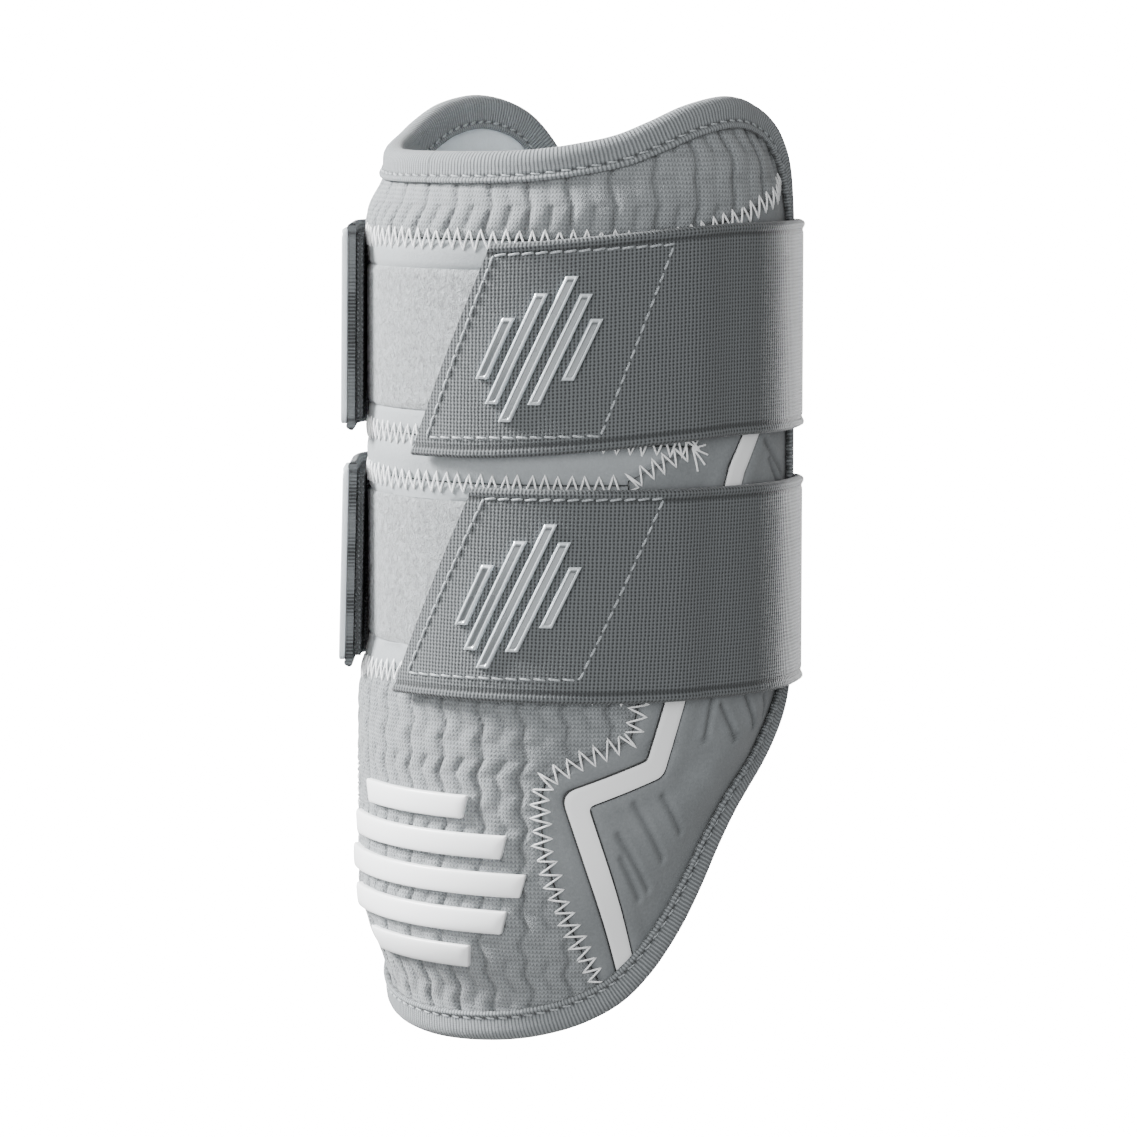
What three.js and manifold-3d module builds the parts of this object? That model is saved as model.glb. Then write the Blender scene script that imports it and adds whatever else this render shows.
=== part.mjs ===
// A baseball elbow guard: a padded half sleeve of knit and smooth panels, bound all round its rim,
// and closed round the arm by two elastic straps whose hook tabs land on loop patches.
// It lies on the flat run of its straps, spine up. X is across the arm, Y runs up the arm to the
// wide end and Z is up. Lengths are millimetres and angles are degrees from the spine.
import * as THREE from 'three';
import Module from 'manifold-3d';

const wasm = await Module();
wasm.setup();

// Driving sizes of the sleeve.
const guardLength = 223.4;
const elbowDrop = 1.9;
const wrapAngle = 131;
const liningRadius = 44;
const liningThick = 1;
const foamThick = 4.9;
const skinThick = 2.3;
const rimSlack = 0.4;
const wingLift = 2.7;
const elbowBulge = 2.5;
const rollStart = 4;
const rollWidth = 14;
const elbowRollExtra = 12;
const foamInset = 8;

// Clearances between pieces that lie on each other, and between panels at a seam.
const seatGap = 0.3;
const seamGap = 0.4;

// Binding round the rim.
const bindThick = 1;
const bindNose = 1.5;
const bindOutside = 7.3;
const bindInside = 8.3;

// Loop patches, stripes and the raised bars on the elbow.
const loopThick = 1.2;
const stripeWidth = 4.9;
const stripeThick = 1.2;
const stripeProud = 0.2;
const frontBarHeight = 5.6;
const frontBarPitch = 9;
const frontBarThick = 1.6;
const frontBarWidest = 64;
const frontBarCentre = 38.5;

// Elastic straps, their hook pads and end tabs.
const strapWidth = 50;
const strapThick = 1.8;
const strapGap = 0.4;
const hookThick = 1.3;
const hookInset = 2.5;
const hookLength = 43;
const tabSlant = 22;
const tabAngle = -41;
const tabReach = 14;
const tabBend = 6;
const hookRunOut = 12;
const plateThick = 1.5;
const plateLength = 18;
const plateInset = 1.5;
const backHookThick = 1.6;

// Slanted raised bars on the front tabs.
const tabBarWidth = 2.7;
const tabBarPitch = 4.8;
const tabBarThick = 1.1;
const tabBarTallest = 34;

// The rim from the spine at the wide end, round one wing, to the spine at the elbow end.
// around is a share of the wrap angle and along a share of the length.
const rimRows = [
  { around: 0, along: 0.942 },
  { around: 0.252, along: 0.9445 },
  { around: 0.366, along: 0.952 },
  { around: 0.443, along: 0.96 },
  { around: 0.519, along: 0.974 },
  { around: 0.611, along: 0.991 },
  { around: 0.725, along: 1 },
  { around: 0.817, along: 0.992 },
  { around: 0.885, along: 0.974 },
  { around: 0.947, along: 0.936 },
  { around: 0.985, along: 0.886 },
  { around: 1, along: 0.833 },
  { around: 1, along: 0.74 },
  { around: 1, along: 0.629 },
  { around: 1, along: 0.52 },
  { around: 1, along: 0.425 },
  { around: 0.984, along: 0.3832 },
  { around: 0.95, along: 0.3462 },
  { around: 0.908, along: 0.314 },
  { around: 0.843, along: 0.276 },
  { around: 0.757, along: 0.2375 },
  { around: 0.699, along: 0.2 },
  { around: 0.652, along: 0.1605 },
  { around: 0.596, along: 0.116 },
  { around: 0.528, along: 0.0725 },
  { around: 0.457, along: 0.0405 },
  { around: 0.372, along: 0.0188 },
  { around: 0.285, along: 0.0055 },
  { around: 0.184, along: -0.0033 },
  { around: 0, along: -elbowDrop / guardLength },
];

// Cross seams, from the spine outwards, in the same shares. They are alike on both wings.
const topSeamRows = [
  { around: 0, along: 0.8505 },
  { around: 0.55, along: 0.8505 },
  { around: 0.718, along: 0.875 },
  { around: 0.8, along: 0.89 },
  { around: 0.924, along: 0.912 },
  { around: 1.2, along: 0.945 },
];
const bandTopRows = [
  { around: 0, along: 0.642 },
  { around: 0.313, along: 0.642 },
  { around: 0.585, along: 0.6334 },
  { around: 1.2, along: 0.6334 },
];
const bandFootRows = [
  { around: 0, along: 0.5945 },
  { around: 1.2, along: 0.5945 },
];
const elbowSeamRows = [
  { around: 0, along: 0.3895 },
  { around: 0.47, along: 0.3735 },
  { around: 1.2, along: 0.3735 },
];

// The seam between the middle panels and a wing, from the wide end down, in the same shares.
const wingSeamRows = [
  { around: 0.756, along: 1.1 },
  { around: 0.74, along: 0.87 },
  { around: 0.656, along: 0.734 },
  { around: 0.594, along: 0.6334 },
  { around: 0.458, along: 0.599 },
  { around: 0.488, along: 0.479 },
  { around: 0.481, along: 0.3715 },
  { around: 0.473, along: 0.3536 },
  { around: 0.462, along: 0.3268 },
  { around: 0.382, along: 0.3111 },
  { around: 0.302, along: 0.2865 },
  { around: 0.288, along: 0.2628 },
  { around: 0.295, along: 0.2095 },
  { around: 0.325, along: 0.1567 },
  { around: 0.364, along: 0.103 },
  { around: 0.403, along: 0.0658 },
  { around: 0.405, along: -0.05 },
];

// The middle line of a wing's stripe, and how many steps each run to the next row takes.
const stripeRows = [
  { around: 0.775, along: 0.6715, steps: 1 },
  { around: 0.702, along: 0.607, steps: 4 },
  { around: 0.56, along: 0.3751, steps: 2 },
  { around: 0.511, along: 0.2954, steps: 3 },
  { around: 0.354, along: 0.2641, steps: 4 },
  { around: 0.446, along: 0.1088, steps: 0 },
];

// Loop patches: half their reach round the sleeve, and their lower and upper edges.
const loopRows = [
  { name: 'upper', around: 0.44, foot: 0.669, head: 0.819 },
  { name: 'lower', around: 0.395, foot: 0.4163, head: 0.5752 },
];

// Straps: their middle line at the front tab, round the wings and at the back tab, where the front
// tab ends, and how far the back tab stands off the sleeve at its head and foot.
const strapRows = [
  { name: 'upper', front: 0.734, back: 0.7556, tab: 0.752, end: 0.108, headStand: 2.2, footStand: 2.7 },
  { name: 'lower', front: 0.4803, back: 0.479, tab: 0.4946, end: 0.07, headStand: 2.2, footStand: 3.5 },
];

// Lengths of the five bars of each raised design, as shares of the longest.
const barShares = [0.56, 0.86, 1, 0.86, 0.56];
const tabBarShares = [0.42, 0.76, 1, 0.76, 0.42];

const colours = {
  foam: [0x6f7476, 0.95, 0],
  lining: [0x9ea0a1, 0.9, 0],
  knit: [0xa6aaac, 0.85, 0],
  smooth: [0x858a8d, 0.75, 0],
  band: [0x999ea0, 0.7, 0],
  loop: [0xc6cacc, 1, 0],
  binding: [0x8f9496, 0.85, 0],
  stripe: [0xe1e2e3, 0.5, 0],
  print: [0xf4f5f5, 0.45, 0],
  elastic: [0x565b5d, 0.9, 0],
  hook: [0x4a4e50, 0.95, 0],
  plate: [0xb9bbbc, 0.4, 0.1],
};

// Heights are measured from elbowDrop above the rim's lowest point, so the box's middle is here.
const middleHeight = (guardLength - elbowDrop) / 2;

// Radii that follow from the driving sizes.
const foamLow = liningRadius + liningThick + seatGap;
const skinRadius = foamLow + foamThick + seatGap + skinThick;
const rimRadius = liningRadius + liningThick + rimSlack + skinThick;
const noseRadius = (rimRadius - liningRadius) / 2 + seatGap + bindThick;
const noseOrbit = (rimRadius + liningRadius) / 2 + wingLift;
const noseAngle = wrapAngle - toDegrees(noseRadius / noseOrbit);
const panelInset = bindNose + seatGap;
const fullInset = rollStart + rollWidth;
const strapReach = noseRadius + seatGap + strapThick;
const axisHeight = strapReach - noseOrbit * cos(noseAngle);

function toDegrees(radians) {
  return radians * 180 / Math.PI;
}

function sin(angle) {
  return Math.sin(angle * Math.PI / 180);
}

function cos(angle) {
  return Math.cos(angle * Math.PI / 180);
}

function lerp(from, to, share) {
  return from + (to - from) * share;
}

// Rises smoothly from 0 at the first value to 1 at the second.
function ease(value, from, to) {
  return THREE.MathUtils.smoothstep(value, Math.min(from, to), Math.max(from, to));
}

// A length along the sleeve's round, as an angle.
function roundAngle(length) {
  return toDegrees(length / skinRadius);
}

// A point at an angle from the spine, a height along the arm and a distance from the arm's axis.
function place(angle, height, radius) {
  return [
    radius * sin(angle),
    height - middleHeight,
    axisHeight + radius * cos(angle),
  ];
}

// Where the elbow stands out: 1 over the elbow at the spine, 0 on the wings and up the arm.
function elbowShare(angle, height) {
  const round = 1 - ease(Math.abs(angle), 0.31 * wrapAngle, 0.65 * wrapAngle);
  const along = 1 - ease(height, 0.34 * guardLength, 0.43 * guardLength);
  return round * along;
}

// How much of the wing lift an angle has.
function wingShare(angle) {
  return ease(Math.abs(angle), 0.8 * wrapAngle, 0.97 * wrapAngle);
}

function liningInside(angle) {
  return liningRadius + wingLift * wingShare(angle);
}

// The outside of the panels, which rolls down to the rim within the inset given.
function skinOutside(angle, height, inset) {
  const elbow = elbowShare(angle, height);
  const lift = wingLift * wingShare(angle);
  const drop = skinRadius - rimRadius - lift + elbowBulge * elbow;
  const share = ease(inset, rollStart, fullInset + elbowRollExtra * elbow);
  return rimRadius + lift + drop * share;
}

// The rim as a closed ring of points on the unrolled sleeve, each with its inward direction.
function rimRing() {
  const half = rimRows.map((row) => new THREE.Vector3(
    row.around * wrapAngle,
    row.along * guardLength,
    0,
  ));
  const other = half.slice(1, -1).reverse().map((point) => new THREE.Vector3(-point.x, point.y, 0));
  const scale = THREE.MathUtils.degToRad(rimRadius);
  const flat = [...half, ...other].map((point) => new THREE.Vector3(point.x * scale, point.y, 0));
  const curve = new THREE.CatmullRomCurve3(flat, true, 'centripetal');
  const points = curve.getSpacedPoints(720).slice(0, -1);
  return points.map((point, index) => {
    const before = points.at(index - 1);
    const after = points[(index + 1) % points.length];
    const length = Math.hypot(after.x - before.x, after.y - before.y);
    const inward = [(after.y - before.y) / length, -(after.x - before.x) / length];
    return { x: point.x, y: point.y, inward };
  });
}

const rim = rimRing();

// A point of the ring, at a fractional index, moved inwards by an inset.
function rimPoint(index, inset) {
  const low = Math.floor(index);
  const from = rim[low % rim.length];
  const to = rim[(low + 1) % rim.length];
  const share = index - low;
  const x = lerp(from.x + inset * from.inward[0], to.x + inset * to.inward[0], share);
  const y = lerp(from.y + inset * from.inward[1], to.y + inset * to.inward[1], share);
  return { angle: toDegrees(x / rimRadius), height: y, inset };
}

// Ring indices where the ring at an inset crosses a value of 'angle' or 'height'.
function rimCrossings(key, value, inset) {
  const found = [];
  for (let index = 0; index < rim.length; index += 1) {
    const from = rimPoint(index, inset);
    const to = rimPoint(index + 1, inset);
    const inside = (from[key] - value) * (to[key] - value) <= 0 && from[key] !== to[key];
    if (inside) {
      const share = (value - from[key]) / (to[key] - from[key]);
      found.push({ index: index + share, point: rimPoint(index + share, inset) });
    }
  }
  return found;
}

// The distance from a point of the sleeve to the rim.
function rimDistance(angle, height) {
  const x = THREE.MathUtils.degToRad(angle) * rimRadius;
  return Math.min(...rim.map((point) => Math.hypot(point.x - x, point.y - height)));
}

// Columns of the sleeve's mesh at the inset where the roll ends, from wing to wing.
function columnAngles() {
  const widest = wrapAngle - toDegrees(fullInset / rimRadius) - 0.01;
  const half = [widest, widest - 1.2, widest - 4];
  const steps = 12;
  for (let step = steps; step > 0; step -= 1) {
    half.push((widest - 8) * step / steps);
  }
  return [...half.map((angle) => -angle), 0, ...half.reverse()];
}

// The order round the ring: foot from left to right, up the right wing, head from right to left
// and down the left wing. Each entry is a ring index.
function ringOrder(rowShares) {
  const columns = columnAngles();
  const ends = columns.map((angle) => {
    const crossings = rimCrossings('angle', angle, fullInset);
    crossings.sort((one, two) => one.point.height - two.point.height);
    return { foot: crossings[0], head: crossings.at(-1) };
  });
  const side = (end, wing) => rowShares.slice(1, -1).map((share) => {
    const height = lerp(end.foot.point.height, end.head.point.height, share);
    const crossings = rimCrossings('height', height, fullInset);
    crossings.sort((one, two) => wing * (two.point.angle - one.point.angle));
    return crossings[0].index;
  });
  const foot = ends.map((end) => end.foot.index);
  const head = ends.map((end) => end.head.index).reverse();
  const right = side(ends.at(-1), 1);
  const left = side(ends[0], -1).reverse();
  return { columns: columns.length, indices: [...foot, ...right, ...head, ...left] };
}

// A plan of the whole sleeve: rings from the first inset to the last, and a grid inside the last.
function sleevePlan(insets, rowShares) {
  const { columns, indices } = ringOrder(rowShares);
  const count = indices.length;
  const rows = rowShares.length;
  const points = insets.flatMap((inset) => indices.map((index) => rimPoint(index, inset)));
  const triangles = [];
  const quad = (a, b, c, d) => triangles.push([a, b, c], [a, c, d]);
  for (let ring = 0; ring + 1 < insets.length; ring += 1) {
    for (let step = 0; step < count; step += 1) {
      const next = (step + 1) % count;
      const outer = ring * count;
      quad(outer + step, outer + next, outer + count + next, outer + count + step);
    }
  }
  const last = (insets.length - 1) * count;
  const grid = [];
  for (let column = 0; column < columns; column += 1) {
    const foot = last + column;
    const head = last + columns + (rows - 2) + (columns - 1 - column);
    grid.push(rowShares.map((share, row) => {
      if (row === 0) return foot;
      if (row === rows - 1) return head;
      if (column === columns - 1) return last + columns + row - 1;
      if (column === 0) return last + count - row;
      const angle = lerp(points[foot].angle, points[head].angle, share);
      const height = lerp(points[foot].height, points[head].height, share);
      points.push({ angle, height, inset: rimDistance(angle, height) });
      return points.length - 1;
    }));
  }
  for (let column = 0; column + 1 < columns; column += 1) {
    for (let row = 0; row + 1 < rows; row += 1) {
      quad(grid[column][row], grid[column + 1][row], grid[column + 1][row + 1], grid[column][row + 1]);
    }
  }
  const border = indices.map((index, step) => step);
  return { points, triangles, border };
}

// A plan between a foot edge and a head edge, each a function of a share from left to right.
function gridPlan(foot, head, columns, rows) {
  const points = [];
  for (let row = 0; row <= rows; row += 1) {
    for (let column = 0; column <= columns; column += 1) {
      const low = foot(column / columns);
      const high = head(column / columns);
      points.push({
        angle: lerp(low.angle, high.angle, row / rows),
        height: lerp(low.height, high.height, row / rows),
      });
    }
  }
  const width = columns + 1;
  const triangles = [];
  for (let row = 0; row < rows; row += 1) {
    for (let column = 0; column < columns; column += 1) {
      const corner = row * width + column;
      triangles.push([corner, corner + 1, corner + width + 1], [corner, corner + width + 1, corner + width]);
    }
  }
  const border = [];
  for (let column = 0; column < columns; column += 1) border.push(column);
  for (let row = 0; row < rows; row += 1) border.push(row * width + columns);
  for (let column = columns; column > 0; column -= 1) border.push(rows * width + column);
  for (let row = rows; row > 0; row -= 1) border.push(row * width);
  return { points, triangles, border };
}

// A path's points moved to its left by a distance, with mitred corners, on the unrolled sleeve.
function shiftPath(path, distance) {
  const scale = THREE.MathUtils.degToRad(skinRadius);
  const flat = path.map((point) => new THREE.Vector2(point.angle * scale, point.height));
  return flat.map((point, index) => {
    const before = flat[Math.max(index - 1, 0)];
    const after = flat[Math.min(index + 1, flat.length - 1)];
    const into = (index > 0 ? point.clone().sub(before) : after.clone().sub(point)).normalize();
    const out = (index < flat.length - 1 ? after.clone().sub(point) : into.clone()).normalize();
    const bisector = into.clone().add(out).normalize();
    const reach = distance / Math.max(bisector.dot(out), 0.5);
    const moved = point.clone().add(new THREE.Vector2(-bisector.y, bisector.x).multiplyScalar(reach));
    return { angle: moved.x / scale, height: moved.y };
  });
}

// A plan of a ribbon along a path, lengthened at both ends by the same margin as its sides.
function ribbonPlan(path, width, margin) {
  const left = shiftPath(path, width / 2 + margin);
  const right = shiftPath(path, -width / 2 - margin);
  const stretch = (side) => {
    const push = (end, next) => {
      const scale = THREE.MathUtils.degToRad(skinRadius);
      const x = (end.angle - next.angle) * scale;
      const y = end.height - next.height;
      const share = margin / Math.hypot(x, y);
      return { angle: end.angle + x * share / scale, height: end.height + y * share };
    };
    const moved = [...side];
    moved[0] = push(side[0], side[1]);
    moved[moved.length - 1] = push(side.at(-1), side.at(-2));
    return moved;
  };
  return bandPlan(stretch(right), stretch(left));
}

// A plan of one row of cells between two edges with the same number of points.
function bandPlan(right, left) {
  const count = right.length;
  const points = [...right, ...left];
  const triangles = [];
  for (let step = 0; step + 1 < count; step += 1) {
    triangles.push([step, step + 1, count + step + 1], [step, count + step + 1, count + step]);
  }
  const border = [...right.keys(), ...[...left.keys()].reverse().map((step) => count + step)];
  return { points, triangles, border };
}

// A closed solid over a plan, between a low and a high radius, each a function of a point.
function plateOver(plan, low, high) {
  const count = plan.points.length;
  const corners = [low, high].flatMap((radius) => plan.points.map(
    (point) => place(point.angle, point.height, radius(point)),
  ));
  const faces = [];
  for (const [a, b, c] of plan.triangles) {
    faces.push([count + a, count + b, count + c], [a, c, b]);
  }
  plan.border.forEach((from, step) => {
    const to = plan.border[(step + 1) % plan.border.length];
    const rising = plan.points[from].angle < plan.points[to].angle;
    if (rising) faces.push([from, to, count + to], [from, count + to, count + from]);
    else faces.push([from, to, count + from], [to, count + to, count + from]);
  });
  return closedGeometry(corners, faces);
}

// A geometry from corners and faces, turned round if its faces point inwards.
function closedGeometry(corners, faces) {
  let volume = 0;
  for (const [a, b, c] of faces) {
    const cross = new THREE.Vector3(...corners[b]).cross(new THREE.Vector3(...corners[c]));
    volume += new THREE.Vector3(...corners[a]).dot(cross);
  }
  const turned = volume < 0 ? faces.map(([a, b, c]) => [a, c, b]) : faces;
  const geometry = new THREE.BufferGeometry();
  geometry.setAttribute('position', new THREE.Float32BufferAttribute(corners.flat(), 3));
  geometry.setIndex(turned.flat());
  return geometry;
}

function toSolid(geometry) {
  const mesh = new wasm.Mesh({
    numProp: 3,
    vertProperties: new Float32Array(geometry.attributes.position.array),
    triVerts: new Uint32Array(geometry.index.array),
  });
  return new wasm.Manifold(mesh);
}

function toGeometry(solid) {
  const mesh = solid.getMesh();
  const geometry = new THREE.BufferGeometry();
  geometry.setAttribute('position', new THREE.BufferAttribute(mesh.vertProperties, 3));
  geometry.setIndex(new THREE.BufferAttribute(mesh.triVerts, 1));
  return geometry;
}

const guard = new THREE.Group();

function addPiece(name, geometry, look) {
  const [color, roughness, metalness] = colours[look];
  geometry.computeVertexNormals();
  const material = new THREE.MeshStandardMaterial({ color, roughness, metalness });
  const mesh = new THREE.Mesh(geometry, material);
  mesh.name = name;
  guard.add(mesh);
}

// A seam's height at an angle, from its rows.
function seamHeight(rows, angle) {
  const around = Math.abs(angle) / wrapAngle;
  const next = rows.findIndex((row) => row.around >= around);
  if (next <= 0) return rows.at(next).along * guardLength;
  const [from, to] = [rows[next - 1], rows[next]];
  const share = (around - from.around) / (to.around - from.around);
  return lerp(from.along, to.along, share) * guardLength;
}

function rowPath(rows, wing) {
  return rows.map((row) => ({ angle: wing * row.around * wrapAngle, height: row.along * guardLength }));
}

// Cutting solids reach through all the layers of the sleeve.
const cutLow = () => liningRadius - 4;
const cutHigh = () => skinRadius + elbowBulge + 10;
const cutSpan = wrapAngle * 1.15;

// All of the sleeve between two heights, each a function of the angle.
function crossCut(footHeight, headHeight) {
  const edge = (height) => (share) => {
    const angle = lerp(-cutSpan, cutSpan, share);
    return { angle, height: height(angle) };
  };
  return toSolid(plateOver(gridPlan(edge(footHeight), edge(headHeight), 45, 1), cutLow, cutHigh));
}

// All of the sleeve on a wing's side of its seam, with the seam moved outwards by a margin.
function wingCut(wing, margin) {
  const seam = shiftPath(rowPath(wingSeamRows, wing), wing * margin);
  const columns = [0, 1, 2, 3, 4, 5].map((step) => seam.map((point) => ({
    angle: lerp(point.angle, wing * cutSpan, step / 5),
    height: point.height,
  })));
  const points = columns.flat();
  const count = seam.length;
  const triangles = [];
  for (let column = 0; column < 5; column += 1) {
    for (let row = 0; row + 1 < count; row += 1) {
      const corner = column * count + row;
      triangles.push([corner, corner + 1, corner + count + 1], [corner, corner + count + 1, corner + count]);
    }
  }
  const border = [];
  for (let row = 0; row + 1 < count; row += 1) border.push(row);
  for (let column = 0; column < 5; column += 1) border.push(column * count + count - 1);
  for (let row = count - 1; row > 0; row -= 1) border.push(5 * count + row);
  for (let column = 5; column > 0; column -= 1) border.push(column * count);
  return toSolid(plateOver({ points, triangles, border }, cutLow, cutHigh));
}

// The outside radius of the panels at a point of a plan.
function outsideAt(point) {
  const inset = point.inset ?? rimDistance(point.angle, point.height);
  return skinOutside(point.angle, point.height, inset);
}

function onSkin(offset) {
  return (point) => outsideAt(point) + offset;
}

const bodyRows = [0, 0.05, 0.12, 0.24, 0.36, 0.44, 0.52, 0.75, 1];
const liningRows = [0, 0.5, 1];

function addFoam() {
  const plan = sleevePlan([foamInset, (foamInset + fullInset) / 2, fullInset], bodyRows);
  const low = (point) => liningInside(point.angle) + liningThick + seatGap;
  addPiece('foam_core', plateOver(plan, low, onSkin(-skinThick - seatGap)), 'foam');
}

function addLining() {
  const plan = sleevePlan([panelInset, bindInside, fullInset], liningRows);
  const low = (point) => liningInside(point.angle);
  addPiece('lining', plateOver(plan, low, (point) => low(point) + liningThick), 'lining');
}

// A loop patch's plan, grown by a margin on all sides.
function loopPlan(row, margin) {
  const reach = row.around * wrapAngle + roundAngle(margin);
  const edge = (height) => (share) => ({ angle: lerp(-reach, reach, share), height });
  const foot = row.foot * guardLength - margin;
  const head = row.head * guardLength + margin;
  return gridPlan(edge(foot), edge(head), 14, 1);
}

function stripePath(wing) {
  const path = [];
  const ends = rowPath(stripeRows, wing);
  stripeRows.forEach((row, index) => {
    for (let step = 0; step < row.steps; step += 1) {
      const share = step / row.steps;
      path.push({
        angle: lerp(ends[index].angle, ends[index + 1].angle, share),
        height: lerp(ends[index].height, ends[index + 1].height, share),
      });
    }
  });
  path.push(ends.at(-1));
  return path;
}

// The panels are one skin cut along its seams, with pockets for the loop patches and stripes.
function addPanels() {
  const insets = [panelInset, bindOutside, (bindOutside + fullInset) / 2, fullInset];
  const skin = toSolid(plateOver(sleevePlan(insets, bodyRows), onSkin(-skinThick), onSkin(0)));
  const below = (rows) => (angle) => seamHeight(rows, angle) - seamGap / 2;
  const above = (rows) => (angle) => seamHeight(rows, angle) + seamGap / 2;
  const past = () => guardLength * 1.2;
  const before = () => -guardLength * 0.2;
  addPiece('knit_panel_upper', toGeometry(skin.intersect(crossCut(above(topSeamRows), past))), 'knit');
  const rest = skin.intersect(crossCut(before, below(topSeamRows)));
  let middle = rest;
  for (const [name, wing] of [['right', 1], ['left', -1]]) {
    const path = stripePath(wing);
    const groove = toSolid(plateOver(
      ribbonPlan(path, stripeWidth, seatGap),
      onSkin(stripeProud - stripeThick - seatGap),
      cutHigh,
    ));
    const panel = rest.intersect(wingCut(wing, seamGap / 2)).subtract(groove);
    addPiece(`wing_panel_${name}`, toGeometry(panel), 'smooth');
    const stripe = plateOver(
      ribbonPlan(path, stripeWidth, 0),
      onSkin(stripeProud - stripeThick),
      onSkin(stripeProud),
    );
    addPiece(`stripe_${name}`, stripe, 'stripe');
    middle = middle.subtract(wingCut(wing, -seamGap / 2));
  }
  const bands = [
    ['loop_base_upper', above(bandTopRows), past, 'band'],
    ['middle_band', above(bandFootRows), below(bandTopRows), 'band'],
    ['loop_base_lower', above(elbowSeamRows), below(bandFootRows), 'band'],
    ['knit_panel_lower', before, below(elbowSeamRows), 'knit'],
  ];
  for (const [name, foot, head, look] of bands) {
    let panel = middle.intersect(crossCut(foot, head));
    const row = loopRows.find((loop) => name === `loop_base_${loop.name}`);
    if (row) {
      const pocket = plateOver(loopPlan(row, seatGap), onSkin(-loopThick - seatGap), cutHigh);
      panel = panel.subtract(toSolid(pocket));
    }
    addPiece(name, toGeometry(panel), look);
  }
}

function addLoopPatches() {
  for (const row of loopRows) {
    addPiece(`loop_patch_${row.name}`, plateOver(loopPlan(row, 0), onSkin(-loopThick), onSkin(0)), 'loop');
  }
}

// The binding folds over the rim: one leg on the panels, a round nose, and one leg on the lining.
function addBinding() {
  const { indices } = ringOrder(bodyRows);
  const corners = [];
  const section = (index) => {
    const edge = rimPoint(index, 0);
    const middle = (rimRadius + liningRadius) / 2 + wingLift * wingShare(edge.angle);
    const turn = [45, 0, -45].map((angle) => [
      noseRadius * (1 - cos(angle)),
      middle + noseRadius * sin(angle),
    ]);
    const skin = (inset, offset) => [inset, outsideAt(rimPoint(index, inset)) + offset];
    const lining = (inset, offset) => [inset, liningInside(rimPoint(index, inset).angle) - offset];
    return [
      skin(bindOutside, seatGap + bindThick),
      skin(noseRadius, seatGap + bindThick),
      ...turn,
      lining(noseRadius, seatGap + bindThick),
      lining(bindInside, seatGap + bindThick),
      lining(bindInside, seatGap),
      lining(bindNose, seatGap),
      skin(bindNose, seatGap),
      skin(bindOutside, seatGap),
    ];
  };
  for (const index of indices) {
    for (const [inset, radius] of section(index)) {
      const point = rimPoint(index, inset);
      corners.push(place(point.angle, point.height, radius));
    }
  }
  const sides = corners.length / indices.length;
  const innerLeg = 5;
  const cavity = 8;
  const faces = [];
  for (let step = 0; step < indices.length; step += 1) {
    const here = step * sides;
    const there = ((step + 1) % indices.length) * sides;
    for (let side = 0; side < sides; side += 1) {
      const next = (side + 1) % sides;
      const [a, b, c, d] = [here + side, there + side, there + next, here + next];
      const onLining = side >= innerLeg && side < cavity;
      faces.push(...(onLining ? [[a, b, d], [b, c, d]] : [[a, b, c], [a, c, d]]));
    }
  }
  addPiece('rim_binding', closedGeometry(corners, faces), 'binding');
}

// Angles of the front tab's end and of its hook pad's ends, at a share from foot to head.
function slantAt(share) {
  return roundAngle(tabSlant * (share - 0.5));
}

function frontEnd(strap, share) {
  return strap.end * wrapAngle + slantAt(share);
}

function hookEnd(strap, share) {
  return frontEnd(strap, share) + roundAngle(hookInset + hookLength);
}

function strapMiddle(strap, angle) {
  const share = ease(angle, strap.end * wrapAngle, 0.72 * wrapAngle);
  return lerp(strap.front, strap.back, share) * guardLength;
}

// The inside of a strap's edge at an angle: over the skin, and over the hook pad at the front tab.
function strapEdgeInside(strap, angle, share) {
  const height = strapMiddle(strap, angle) + strapWidth * (share - 0.5);
  const bulge = elbowBulge * elbowShare(angle, height);
  const lift = 1 - ease(angle, hookEnd(strap, 1), hookEnd(strap, 1) + roundAngle(hookRunOut));
  const padded = angle > tabAngle ? (hookThick + seatGap) * lift : 0;
  const noseInside = noseOrbit + noseRadius + seatGap;
  const onRound = skinRadius + strapGap + bulge + padded;
  return lerp(onRound, noseInside, ease(Math.abs(angle), 0.8 * wrapAngle, noseAngle));
}

function strapInside(strap, point) {
  const foot = strapMiddle(strap, point.angle) - strapWidth / 2;
  const share = (point.height - foot) / strapWidth;
  return lerp(
    strapEdgeInside(strap, point.angle, 0),
    strapEdgeInside(strap, point.angle, 1),
    share,
  );
}

const wingSteps = [0.575, 0.63, 0.687, 0.745, 0.805, 0.86, 0.915];

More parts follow.
